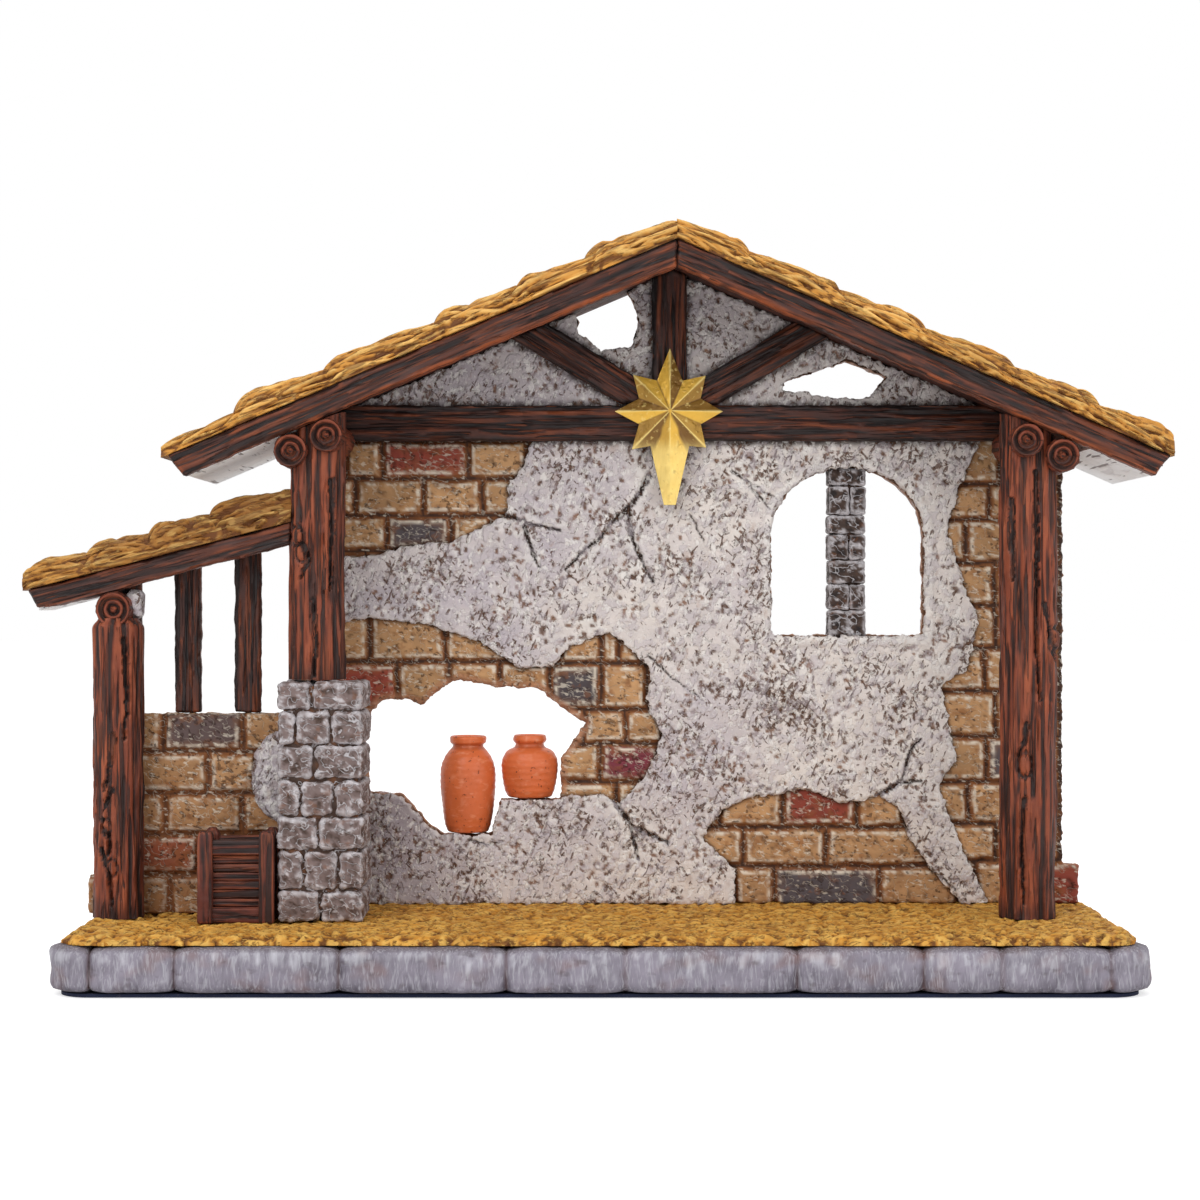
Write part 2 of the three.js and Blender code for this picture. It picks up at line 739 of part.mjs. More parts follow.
// Thatch laid in rows of round bundles, each row overlapping the one below. rows are the x of
// each row's lower end from the eave up, and end is where the top row stops. The thatch is
// thicker by growth at its top, its strands run up the slope, and both its verges are rounded.
function thatch(rows, end, surface, thin, thick, growth, front, back) {
  const direction = Math.sign(rows[0] - end);
  const scallop = 2;
  const dip = 0.3;
  const columns = [];
  rows.forEach((butt, row) => {
    const next = rows[row + 1] ?? end;
    const push = (share, thickness) => columns.push({ x: butt + (next - butt) * share, thickness, row });
    push(row === 0 ? 0 : 0.02, thin * (row === 0 ? 0.45 : 1));
    push(0.07, thick);
    push(0.5, (thin + thick) / 2);
  });
  columns.push({ x: end, thickness: thin + (thick - thin) / 2, row: rows.length - 1 });
  const height = (x) => surface(x) + seat;
  const lines = strandLines(front, back);
  const rings = columns.map(({ x, thickness, row }, column) => {
    const grown = 1 + growth * (x - rows[0]) / (end - rows[0]);
    return lines.map(({ y, fullness, crest }) => {
      const lobe = Math.abs(Math.cos(Math.PI * ((y - front) / bundleWidth + row * 0.5)));
      const shift = column === columns.length - 1 ? 0 : direction * scallop * (lobe - 1);
      const shifted = x + shift;
      const furrow = (crest + row) % 2 ? strandHeight * thickness / thick * fullness : 0;
      const full = thickness * grown * fullness * (1 - dip * (1 - lobe));
      return new THREE.Vector3(shifted, y, height(shifted) + full - furrow);
    });
  });
  return slab(rings, height);
}

// Lines that run up the thatch: two on each rounded verge, and two to each strand between.
// Each verge line has its share of the way in over the rounding, and how full the thatch is there.
function strandLines(front, back) {
  const verges = [[0, 0.4], [0.35, 0.8]];
  const inner = back - front - 2 * thatchRounding;
  const count = 2 * Math.round(inner / strandWidth);
  const onVerge = ([share, fullness]) => ({ y: front + thatchRounding * share, fullness, crest: 0 });
  const lines = verges.map(onVerge);
  for (let k = 0; k <= count; k++) {
    lines.push({ y: front + thatchRounding + inner * k / count, fullness: 1, crest: k });
  }
  for (const [share, fullness] of verges.toReversed()) {
    lines.push({ y: back - thatchRounding * share, fullness, crest: 0 });
  }
  return lines;
}

// A closed slab over a net of points, down to the line that height gives along X.
function slab(net, height) {
  const rows = net.length;
  const columns = net[0].length;
  const points = net.flat();
  const index = [];
  const rising = net[0][0].x < net[rows - 1][0].x;
  const face = (a, b, c) => (rising ? index.push(a, b, c) : index.push(a, c, b));
  const at = (row, column) => row * columns + column;
  for (let row = 0; row < rows - 1; row++) {
    for (let column = 0; column < columns - 1; column++) {
      face(at(row, column), at(row + 1, column), at(row + 1, column + 1));
      face(at(row, column), at(row + 1, column + 1), at(row, column + 1));
    }
  }
  const rim = [];
  for (let row = 0; row < rows - 1; row++) rim.push(at(row, 0));
  for (let column = 0; column < columns - 1; column++) rim.push(at(rows - 1, column));
  for (let row = rows - 1; row > 0; row--) rim.push(at(row, columns - 1));
  for (let column = columns - 1; column > 0; column--) rim.push(at(0, column));
  const under = rim.map((top) => {
    const { x, y } = points[top];
    return points.push(new THREE.Vector3(x, y, height(x))) - 1;
  });
  rim.forEach((top, k) => {
    const next = (k + 1) % rim.length;
    face(under[k], under[next], rim[next]);
    face(under[k], rim[next], top);
  });
  const flat = under.map((k) => new THREE.Vector2(points[k].x, points[k].y));
  for (const [a, b, c] of THREE.ShapeUtils.triangulateShape(flat, [])) {
    index.push(under[a], under[c], under[b]);
  }
  const geometry = new THREE.BufferGeometry().setFromPoints(points);
  geometry.setIndex(index);
  return geometry;
}

// Timbers that lie on the gable's face, cut to the roof.
function onGable(shape) {
  const timber = board(shape, gableTimberFront, gableTimberFront + gableTimberDepth, castEdge);
  const spread = 20;
  const low = (x) => deckUnder(x) - seat;
  const left = leftEaveX - spread;
  const right = rightEaveX + spread;
  const above = board(
    outline([[left, low(left)], [ridgeX, low(ridgeX)], [right, low(right)], [right, ridgeHeight + spread],
      [left, ridgeHeight + spread]]),
    verge, roofBack);
  return cut(timber, [above]);
}

const beamTop = beamBottom + beamHeight;

function tieBeam() {
  const left = wallLeft + beamLeftInset;
  const right = wallRight - beamRightInset;
  return onGable(outline([[left, beamBottom], [right, beamBottom], [right, beamTop], [left, beamTop]]));
}

function kingPost() {
  const left = kingPostX - kingPostWidth / 2;
  const right = left + kingPostWidth;
  const foot = beamTop + seat;
  return onGable(outline([[left, foot], [right, foot], [right, ridgeHeight], [left, ridgeHeight]]));
}

// A strut from the king post's foot up to where its lower edge meets the roof.
function brace(direction) {
  const inner = kingPostX + direction * (kingPostWidth / 2 + seat);
  const rise = braceWidth * Math.hypot(1, bracePitch);
  const foot = beamTop + seat;
  const skip = rise / 2 / bracePitch;
  const slope = direction < 0 ? leftSlope : rightSlope;
  const room = deckUnder(ridgeX) - seat - slope * direction * (inner - ridgeX) - foot;
  const reach = (room + rise / 2) / (slope + bracePitch);
  const outer = inner + direction * reach;
  const lift = reach * bracePitch;
  return onGable(outline([
    [inner, foot],
    [inner + direction * skip, foot],
    [outer, foot + lift - rise / 2],
    [outer, foot + lift + rise / 2],
    [inner, foot + rise / 2],
  ]));
}

function lowWall() {
  const back = lowWallFront + lowWallThickness;
  const step = brickHeight;
  const toe = lowWallLeft - lowWallToe;
  const face = outline([
    [toe, seat], [lowWallRight, seat], [lowWallRight, lowWallHeight], [lowWallLeft, lowWallHeight],
    [lowWallLeft, step * 2], [lowWallLeft - lowWallToe / 2, step * 2], [lowWallLeft - lowWallToe / 2, step],
    [toe, step],
  ]);
  const bare = [[toe, 0], [lowWallRight, 0], [lowWallRight, lowWallHeight], [toe, lowWallHeight]];
  const joints = brickJoints(toe, lowWallRight, lowWallHeight, lowWallFront, [bare]);
  return cut(board(face, lowWallFront, back), [joints]);
}

// A round-backed lump of plaster left on the low wall.
function plasterPatch() {
  const right = lowWallRight - seat;
  const middle = lowWallHeight - patchDrop - patchHeight / 2;
  const shape = new THREE.Shape();
  shape.moveTo(right, middle - patchHeight / 2);
  shape.lineTo(right, middle + patchHeight / 2);
  shape.absellipse(right, middle, patchWidth, patchHeight / 2, Math.PI / 2, Math.PI * 1.5);
  const back = lowWallFront - seat;
  return board(shape, back - patchThickness, back, castEdge);
}

function slat(x) {
  const left = x - slatWidth / 2;
  const right = x + slatWidth / 2;
  const foot = lowWallHeight + seat;
  return board(
    outline([
      [left, foot], [right, foot], [right, leanDeckUnder(right) - seat], [left, leanDeckUnder(left) - seat],
    ]),
    slatFront, slatFront + slatDepth, castEdge);
}

// Eight points round a raised middle; the lowest is a long tail with a blunt end.
function star() {
  const rim = [];
  starTips.forEach((tip, k) => {
    const angle = k * Math.PI / 4;
    if (k === starTail) {
      rim.push([-starTailEnd, -tip], [starTailEnd, -tip]);
    } else {
      rim.push([tip * Math.cos(angle), tip * Math.sin(angle)]);
    }
    const nextToTail = k === starTail || k === starTail - 1;
    const radius = nextToTail ? starTailWaist : starWaist;
    const lean = nextToTail ? (k === starTail ? starTailSpread : -starTailSpread) : 0;
    const between = angle + Math.PI / 8 + lean;
    rim.push([radius * Math.cos(between), radius * Math.sin(between)]);
  });
  const points = [new THREE.Vector3(0, -starCrown, 0), new THREE.Vector3(0, 0, 0)];
  rim.forEach(([x, z]) => points.push(new THREE.Vector3(x, -starEdge, z), new THREE.Vector3(x, 0, z)));
  const index = [];
  rim.forEach((_, k) => {
    const front = 2 + 2 * k;
    const nextFront = 2 + 2 * ((k + 1) % rim.length);
    index.push(0, front, nextFront);
    index.push(front, front + 1, nextFront + 1, front, nextFront + 1, nextFront);
    index.push(1, nextFront + 1, front + 1);
  });
  const geometry = new THREE.BufferGeometry().setFromPoints(points);
  geometry.setIndex(index);
  return geometry;
}

// A thrown jar: foot, belly, neck, lip and a shallow mouth.
function jar({ foot, belly, bellyHeight, neck, lip, height }) {
  const rim = height - jarLipHeight;
  const throat = neck - jarWall;
  return revolve([
    [0, 0], [foot, 0], [foot * 0.43 + belly * 0.57, bellyHeight * 0.4], [belly, bellyHeight],
    [belly * 0.86, bellyHeight + (height - bellyHeight) * 0.38], [neck, rim - jarNeckHeight],
    [neck, rim - jarNeckHeight / 2], [lip, rim], [lip, height - jarLipHeight / 4],
    [lip - jarLipHeight / 2, height], [throat, rim], [throat, height - jarMouthDepth],
    [0, height - jarMouthDepth],
  ], 20);
}

// The feed box: four plank walls with a sunk panel in each, open on top.
function feedBoxBody() {
  const width = feedBoxWidth - feedBoxPost;
  const depth = feedBoxDepth - feedBoxPost;
  const post = feedBoxPost / 2 + seat;
  const insideX = width / 2 - feedBoxWall / 2;
  const insideY = depth / 2 - feedBoxWall / 2;
  const outerX = insideX + feedBoxWall;
  const outerY = insideY + feedBoxWall;
  const tools = [
    block(-insideX, insideX, -insideY, insideY, feedBoxFloor, feedBoxHeight + 1),
  ];
  for (const side of [-1, 1]) {
    const edgeY = side * outerY;
    const edgeX = side * outerX;
    const panelX = width / 2 - post - 1;
    const panelY = depth / 2 - post - 1;
    const top = feedBoxHeight - feedBoxRail;
    tools.push(block(-panelX, panelX, edgeY - feedBoxSunk, edgeY + feedBoxSunk, feedBoxRail, top));
    tools.push(block(edgeX - feedBoxSunk, edgeX + feedBoxSunk, -panelY, panelY, feedBoxRail, top));
    for (const end of [-1, 1]) {
      const postX = end * width / 2;
      const postY = side * depth / 2;
      tools.push(block(
        postX - post, postX + post, postY - post, postY + post, -1, feedBoxHeight + 1));
    }
  }
  return cut(block(-outerX, outerX, -outerY, outerY, 0, feedBoxHeight), tools);
}

function finish(color, roughness, metalness = 0) {
  return new THREE.MeshStandardMaterial({ color, roughness, metalness });
}

const stoneGrey = 0x77747c;
const strawOchre = 0xb98a3c;
const wallBrick = 0xb39a7c;
const plasterWhite = 0xcfc7ba;
const darkWood = 0x4a2b1e;
const postWood = 0x74402a;
const thatchOchre = 0xc08a3e;
const boxWood = 0x552a1c;
const terracotta = 0xb9582c;
const gold = 0xd8a238;
const foamBlue = 0x1c2138;

const stable = new THREE.Group();
const stage = new THREE.Group();
stage.position.z = ground;
stable.add(stage);

function add(parent, name, geometry, material, x = 0, y = 0, z = 0) {
  const mesh = new THREE.Mesh(geometry, material);
  mesh.name = name;
  mesh.position.set(x, y, z);
  parent.add(mesh);
  return mesh;
}

add(stable, 'base_pad', basePad(), finish(foamBlue, 0.95));
add(stable, 'base_plinth', basePlinth(), finish(stoneGrey, 0.85), 0, 0, plinthBottom);
add(stable, 'straw_ground', strawGround(), finish(strawOchre, 0.95), 0, 0, plinthTop + seat);

add(stage, 'brick_wall', brickWall(), finish(wallBrick, 0.9));
add(stage, 'plaster_coat', plasterCoat(), finish(plasterWhite, 0.9));
add(
  stage, 'window_mullion', mullion(), finish(stoneGrey, 0.85),
  windowX, coreFront + coreThickness / 2, sillHeight + seat);
add(stage, 'low_wall', lowWall(), finish(wallBrick, 0.9));
add(stage, 'plaster_patch', plasterPatch(), finish(plasterWhite, 0.9));
add(
  stage, 'stone_pier', pier(), finish(stoneGrey, 0.85),
  leftPostX + pierShift, verge - pierProud + pierDepth / 2, seat);

add(stage, 'left_post', roofPost(leftPostX, pierHeight + 2 * seat, 0.4), finish(postWood, 0.75));
add(stage, 'right_post', roofPost(rightPostX, seat, 2.1), finish(postWood, 0.75));
add(stage, 'corner_post', cornerPost(), finish(postWood, 0.75));
add(stage, 'tie_beam', tieBeam(), finish(darkWood, 0.75));
add(stage, 'king_post', kingPost(), finish(darkWood, 0.75));
add(stage, 'brace_left', brace(-1), finish(darkWood, 0.75));
add(stage, 'brace_right', brace(1), finish(darkWood, 0.75));
for (let k = 0; k < slatCount; k++) {
  add(stage, `slat_${k + 1}`, slat(firstSlatX - k * slatPitch), finish(darkWood, 0.75));
}

for (const [name, x] of Object.entries(purlinXs)) {
  const front = verge + purlinSetback;
  const purlin = log(purlinRadius, gableTimberFront - seat - front);
  add(stage, name, purlin, finish(postWood, 0.7), x, front, purlinHeight(x)).rotation.x = -Math.PI / 2;
}
const leanPurlinFront = leanFront - leanPurlinProud;
const leanPurlin = log(leanPurlinRadius, slatFront - seat - leanPurlinFront);
add(
  stage, 'lean_to_purlin', leanPurlin, finish(postWood, 0.7), leanPurlinX, leanPurlinFront,
  leanPurlinHeight()).rotation.x = -Math.PI / 2;

add(stage, 'rafter_left', rafter(leftEaveX, -1), finish(darkWood, 0.75));
add(stage, 'rafter_right', rafter(rightEaveX, 1), finish(darkWood, 0.75));
add(stage, 'lean_to_rafter', leanRafter(), finish(darkWood, 0.75));
add(stage, 'roof_deck_left', roofDeck(leftEaveX, -1), finish(darkWood, 0.8));
add(stage, 'roof_deck_right', roofDeck(rightEaveX, 1), finish(darkWood, 0.8));
add(stage, 'lean_to_deck', leanDeck(), finish(darkWood, 0.8));
add(stage, 'eave_left', eave(leftEaveX, wallLeft, -1), finish(plasterWhite, 0.9));
add(stage, 'eave_right', eave(rightEaveX, wallRight, 1), finish(plasterWhite, 0.9));
add(stage, 'lean_to_eave', leanEave(), finish(plasterWhite, 0.9));
const thatchFront = verge - thatchProud;
const thatchBack = roofBack + thatchProud;
add(
  stage, 'thatch_left',
  thatch(leftButts, ridgeX - seat / 2, roofTop, thatchThin, thatchThick, 0, thatchFront, thatchBack),
  finish(thatchOchre, 0.95));
add(
  stage, 'thatch_right',
  thatch(rightButts, ridgeX + seat / 2, roofTop, thatchThin, thatchThick, 0, thatchFront, thatchBack),
  finish(thatchOchre, 0.95));
add(
  stage, 'lean_to_thatch',
  thatch(leanButts, leanRight, leanTop, leanThatchThin, leanThatchThick, leanThatchGrowth,
    leanFront - thatchProud, leanFront + leanDepth + thatchProud),
  finish(thatchOchre, 0.95));

add(stage, 'star', star(), finish(gold, 0.4, 0.7), starX, gableTimberFront - seat, starHeight);
const jarY = coreFront + coreThickness / 2;
add(
  stage, 'tall_jar', jar(tallJar), finish(terracotta, 0.6),
  tallJar.x, jarY, tallJar.ledge + seat);
add(
  stage, 'round_jar', jar(roundJar), finish(terracotta, 0.6),
  roundJar.x, jarY, roundJar.ledge + seat);

const feedBox = new THREE.Group();
feedBox.position.set(feedBoxX, lowWallFront - feedBoxGap - feedBoxDepth / 2, seat);
stage.add(feedBox);
add(feedBox, 'feed_box_body', feedBoxBody(), finish(boxWood, 0.75));
const corners = { front_left: [-1, -1], front_right: [1, -1], rear_left: [-1, 1], rear_right: [1, 1] };
for (const [corner, [side, end]] of Object.entries(corners)) {
  const post = hewnTimber(feedBoxPost, feedBoxPost, feedBoxHeight + feedBoxPostProud, side + end);
  add(
    feedBox, `feed_box_post_${corner}`, post, finish(boxWood, 0.75),
    side * (feedBoxWidth - feedBoxPost) / 2, end * (feedBoxDepth - feedBoxPost) / 2, 0);
}

export default stable;
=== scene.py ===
"""Looks of the resin nativity stable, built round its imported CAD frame.

Each piece is moulded in millimetres as a net of points with a relief on it. It is then painted
by that relief, as such castings are: a dark wash in the hollows and a dry brush over what
stands proud. Places that are taken from the photograph are kept as its pixels.
"""

import logging
import math
from collections.abc import Callable
from dataclasses import dataclass, field
from enum import Enum

import bpy
import numpy as np
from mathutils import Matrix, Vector
from mathutils.geometry import delaunay_2d_cdt


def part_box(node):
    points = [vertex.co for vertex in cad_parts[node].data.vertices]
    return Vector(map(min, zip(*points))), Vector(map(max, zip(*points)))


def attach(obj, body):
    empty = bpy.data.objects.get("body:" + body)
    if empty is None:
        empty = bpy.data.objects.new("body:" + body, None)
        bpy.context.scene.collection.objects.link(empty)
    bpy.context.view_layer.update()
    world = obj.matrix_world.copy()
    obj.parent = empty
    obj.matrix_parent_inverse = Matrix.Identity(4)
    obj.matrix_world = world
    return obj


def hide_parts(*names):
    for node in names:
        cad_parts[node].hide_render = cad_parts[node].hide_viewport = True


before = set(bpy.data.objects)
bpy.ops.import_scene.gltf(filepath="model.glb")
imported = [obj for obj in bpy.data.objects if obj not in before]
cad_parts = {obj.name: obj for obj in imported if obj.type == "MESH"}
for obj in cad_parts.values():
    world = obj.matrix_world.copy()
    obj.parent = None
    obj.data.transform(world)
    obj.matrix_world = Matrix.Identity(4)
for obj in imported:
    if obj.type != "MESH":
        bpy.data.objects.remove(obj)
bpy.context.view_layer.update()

MM = 0.001  # A millimetre in metres
FAR = 99.0  # Beyond every reach that counts, in mm
FLAT = 0.02  # How far off a face its points may lie, in mm
SNAPS = 200  # Steps to a millimetre by which corners are told apart
WHITE = (1.0, 1.0, 1.0, 1.0)
Array = np.ndarray
Pair = tuple[Array, Array]
Place = tuple[float, float, float]
Path = tuple[tuple[float, float], ...]
Slope = Callable[[Array], Array]
Crowd = Callable[[float, float], float]
Field = Callable[[Array, Array], Array]
Relief = Callable[[Array, Array, Array], Pair]
Socket = bpy.types.NodeSocket
Tone = Socket | tuple[float, ...]
log = logging.getLogger("stable")


class Paint(Enum):
    """Pots of paint, as sRGB."""

    PLASTER = "d3c9c6"
    PLASTER_WARM = "ded4cd"
    PLASTER_COOL = "bfb5ba"
    PLASTER_SHADE = "968a92"
    # Pale plaster of the eaves' undersides, taken up to pure white as painted light in their
    # shade.
    EAVE = "ffffff"
    PLASTER_PIT = "5b3d2c"
    PLASTER_RUST = "94684a"
    PLASTER_TIP = "efeae5"
    # Crack paint, also laid as painted shade beside the gable timbers.
    CRACK_AND_SHADE = "2a1a12"
    BRICK_TAN = "b88d62"
    BRICK_TAN_DARK = "8e5c31"
    BRICK_RED = "8f3f30"
    BRICK_PLUM = "7c3340"
    BRICK_GREY = "4f474a"
    BRICK_TIP = "e6dac8"
    MORTAR = "84502a"
    # Dark mortar, also laid as the painted shadow of the plaster coat's edge on the bricks.
    MORTAR_DARK_AND_SHADOW = "351d10"
    BREACH = "b98566"
    STONE = "7b6a67"
    STONE_DARK = "44332b"
    STONE_TIP = "dcd8dc"
    PLINTH = "8a8490"
    PLINTH_DARK = "514b56"
    PLINTH_TIP = "d6d5dd"
    POST = "7d3b25"
    POST_DARK = "1f0f0c"
    POST_TIP = "b05f3b"
    BEAM = "45231a"
    BEAM_DARK = "140b0b"
    BEAM_TIP = "a1522b"
    THATCH = "c98b3a"
    THATCH_DARK = "643812"
    THATCH_TIP = "f0c474"
    STRAW = "c4862e"
    STRAW_DARK = "65390f"
    STRAW_TIP = "ebbd62"
    GOLD = "e6b544"
    GOLD_DARK = "5f390d"
    GOLD_TIP = "fbe08a"
    JAR = "d86d3d"
    JAR_DARK = "75301a"
    JAR_TIP = "f0a37e"
    CRATE = "5e2b20"
    CRATE_DARK = "170c0c"
    CRATE_TIP = "a65a3a"
    # A foam sheet under the base, whose dark navy is also the painted shadow along the foot.
    FOAM_AND_SHADOW = "20263f"

    @property
    def rgb(self) -> Array:
        """The colour as linear light."""
        levels = np.array([int(self.value[k : k + 2], 16) for k in (0, 2, 4)]) / 255
        return np.where(levels <= 0.04045, levels / 12.92, ((levels + 0.055) / 1.055) ** 2.4)


Colour = Array | Paint


def ramp(low: float, high: float, value: Array) -> Array:
    """Smooth step from 0 at low to 1 at high.

    Args:
        low: Value that gives 0.
        high: Value that gives 1. It may be less than low.
        value: Values to map.

    Returns:
        Shares between 0 and 1.
    """
    share = np.clip((value - low) / (high - low), 0, 1)
    return share * share * (3 - 2 * share)


def painted(under: Colour, *coats: tuple[Colour, Array | float]) -> Array:
    """Lays coats of paint over a colour, one after another.

    Args:
        under: What is under them, a paint or a colour at each point.
        coats: Paint or colours of each coat, and how much of it shows at each point.

    Returns:
        A colour at each point.
    """
    colour = under.rgb if isinstance(under, Paint) else under
    for over, share in coats:
        share = np.asarray(share)[..., None]
        colour = colour * (1 - share) + (over.rgb if isinstance(over, Paint) else over) * share
    return colour


def blurred(height: Array, cells: int) -> Array:
    """Averages a net over a square of cells, twice.

    Args:
        height: A net of values.
        cells: Reach of the square on each side, in cells.

    Returns:
        The smoothed net.
    """
    size = 2 * cells + 1
    for _ in range(2):
        for axis in (0, 1):
            pad = [(0, 0), (0, 0)]
            pad[axis] = (cells + 1, cells)
            total = np.cumsum(np.pad(height, pad, mode="edge"), axis=axis)
            upper = np.take(total, range(size, total.shape[axis]), axis=axis)
            lower = np.take(total, range(total.shape[axis] - size), axis=axis)
            height = (upper - lower) / size
    return height


def dome(share: Array) -> Array:
    """Height of a quarter round, from 0 at share 0 to 1 at share 1 and beyond."""
    return np.sqrt(np.clip(1 - (1 - share).clip(0, 1) ** 2, 0, 1))


def cells_of(shape: tuple[int, int]) -> Array:
    """Numbers the corners of a net's cells.

    Args:
        shape: How many points the net has along and across.

    Returns:
        Point numbers of the four corners of each cell.
    """
    index = np.arange(shape[0] * shape[1]).reshape(shape)
    corners = np.stack([index[:-1, :-1], index[:-1, 1:], index[1:, 1:], index[1:, :-1]], -1)
    return corners.reshape(-1, 4)


def reach(x: Array, z: Array, path: Path) -> Pair:
    """Distance from each point to a path of straight stretches.

    Args:
        x: Across, any shape.
        z: Up, the same shape.
        path: Corners of the path.

    Returns:
        The distance, and how far along the path the nearest place is, from 0 to 1.
    """
    best = np.full(x.shape, np.inf)
    along = np.zeros(x.shape)
    count = len(path) - 1
    for k, ((ax, az), (bx, bz)) in enumerate(zip(path, path[1:])):
        dx, dz = bx - ax, bz - az
        share = np.clip(((x - ax) * dx + (z - az) * dz) / (dx * dx + dz * dz), 0, 1)
        gap = np.hypot(x - ax - share * dx, z - az - share * dz)
        along = np.where(gap < best, (k + share) / count, along)
        best = np.minimum(best, gap)
    return best, along


class Noise:
    """Smooth seeded noise, about -1 to 1, over a plane."""

    SIZE = 256
    GAIN = 1.6
    LAYER_GAIN = 1.4
    FADE = 0.55

    def __init__(self, seed: int) -> None:
        """Gives each place of the lattice a lean from the seed."""
        turn = np.random.default_rng(seed).uniform(0, 2 * math.pi, (self.SIZE, self.SIZE))
        self.lean_x, self.lean_y = np.cos(turn), np.sin(turn)

    def at(self, x: Array, y: Array) -> Array:
        """Noise with about one lump to each unit.

        Args:
            x: Places along.
            y: Places across.

        Returns:
            A value at each place.
        """
        x, y = np.broadcast_arrays(x, y)
        column, row = np.floor(x), np.floor(y)
        gone_x, gone_y = x - column, y - row
        column, row = column.astype(int), row.astype(int)
        far_x, far_y = ramp(0, 1, gone_x), ramp(0, 1, gone_y)
        total = np.zeros(x.shape)
        for i, weight_x in ((0, 1 - far_x), (1, far_x)):
            for j, weight_y in ((0, 1 - far_y), (1, far_y)):
                place = (row + j) % self.SIZE, (column + i) % self.SIZE
                slope = self.lean_x[place] * (gone_x - i) + self.lean_y[place] * (gone_y - j)
                total += weight_x * weight_y * slope
        return total * self.GAIN

    def layers(self, x: Array, y: Array, count: int = 4) -> Array:
        """Several octaves of noise, each turned against the last.

        Args:
            x: Places along.
            y: Places across.
            count: How many octaves.

        Returns:
            A value at each place.
        """
        total, weight, weights = 0.0, 1.0, 0.0
        for _ in range(count):
            total = total + weight * self.at(x, y)
            weights += weight
            weight *= self.FADE
            x, y = 1.6 * x - 1.2 * y + 17.3, 1.2 * x + 1.6 * y + 5.9
        return total / weights * self.LAYER_GAIN


@dataclass(frozen=True)
class Stroke:
    """A strand or a score, and how it is strewn over a net. Sizes in mm, angles in radians."""

    length: float
    width: float
    rise: float
    cover: float = 1.0
    lean: float = 0.0
    spread: float = 0.1
    bend: float = 0.0
    lift: float = 0.0

    def count(self, area: float) -> int:
        """How many strokes cover that area."""
        return int(self.cover * area / (self.length * self.width))


@dataclass
class Net:
    """A net of heights over an unrolled surface, in mm: u runs along it and v across it."""

    length: float
    width: float
    step: float
    height: Array = field(init=False)
    u: Array = field(init=False)
    v: Array = field(init=False)

    def __post_init__(self) -> None:
        """Lays the net out flat."""
        rows = max(2, round(self.length / self.step)) + 1
        columns = max(2, round(self.width / self.step)) + 1
        self.u, self.v = np.meshgrid(
            np.linspace(0, self.length, rows), np.linspace(0, self.width, columns), indexing="ij"
        )
        self.height = np.zeros(self.u.shape)

    def strew(self, tools: tuple[Stroke, ...], seed: int, crowd: Crowd | None = None) -> None:
        """Presses many copies of each stroke into the net.

        Args:
            tools: The strokes.
            seed: Seed of the first one. Each of the others has the next number.
            crowd: Chance from 0 to 1 that a stroke at u and v is kept.
        """
        for number, tool in enumerate(tools):
            self.strokes(tool, seed + number, crowd)

    def strokes(self, tool: Stroke, seed: int, crowd: Crowd | None) -> None:
        """Presses many copies of a stroke into the net, raised or cut.

        Args:
            tool: The stroke and how it is strewn.
            seed: Seed of the strewing.
            crowd: Chance from 0 to 1 that a stroke at u and v is kept.
        """
        rng = np.random.default_rng(seed)
        rows, columns = self.height.shape
        du, dv = self.length / (rows - 1), self.width / (columns - 1)
        raised = tool.rise > 0
        for _ in range(tool.count(self.length * self.width)):
            middle_u, middle_v = rng.uniform(0, self.length), rng.uniform(0, self.width)
            half = tool.length * rng.uniform(0.6, 1.3) / 2
            breadth = tool.width * rng.uniform(0.7, 1.3) / 2
            angle = tool.lean + rng.normal(0, tool.spread)
            bend = rng.normal(0, tool.bend)
            base = rng.uniform(-tool.lift, tool.lift)
            if crowd and rng.uniform() > crowd(middle_u, middle_v):
                continue
            size = half + breadth
            first_row = max(0, int((middle_u - size) / du))
            last_row = min(rows, int((middle_u + size) / du) + 2)
            first_column = max(0, int((middle_v - size) / dv))
            last_column = min(columns, int((middle_v + size) / dv) + 2)
            window = (slice(first_row, last_row), slice(first_column, last_column))
            u, v = self.u[window] - middle_u, self.v[window] - middle_v
            along = (u * math.cos(angle) + v * math.sin(angle)) / half
            across = (v * math.cos(angle) - u * math.sin(angle)) / breadth
            across = across - bend * along * along * half / breadth
            hump = np.sqrt(np.clip(1 - across * across, 0, 1))
            hump = hump * np.sqrt(np.clip(1 - along**2, 0, 1))
            here = self.height[window]
            mark = np.where(hump > 0, base + tool.rise * hump, -np.inf if raised else np.inf)
            self.height[window] = np.maximum(here, mark) if raised else np.minimum(here, mark)

    def wear(self, reach_mm: float) -> Array:
        """How far each point stands proud of what is round it, in mm."""
        return self.height - blurred(self.height, max(1, round(reach_mm / self.step)))

    def at(self, u: Array, v: Array) -> Array:
        """Height at other places, between the points of the net.

        Args:
            u: Places along the net, in mm.
            v: Places across it, in mm.

        Returns:
            The height at each place.
        """
        rows, columns = self.height.shape
        row = np.clip(u / self.length * (rows - 1), 0, rows - 1.001)
        column = np.clip(v / self.width * (columns - 1), 0, columns - 1.001)
        i, j = row.astype(int), column.astype(int)
        p, q = row - i, column - j
        near = self.height[i, j] * (1 - q) + self.height[i, j + 1] * q
        far = self.height[i + 1, j] * (1 - q) + self.height[i + 1, j + 1] * q
        return near * (1 - p) + far * p


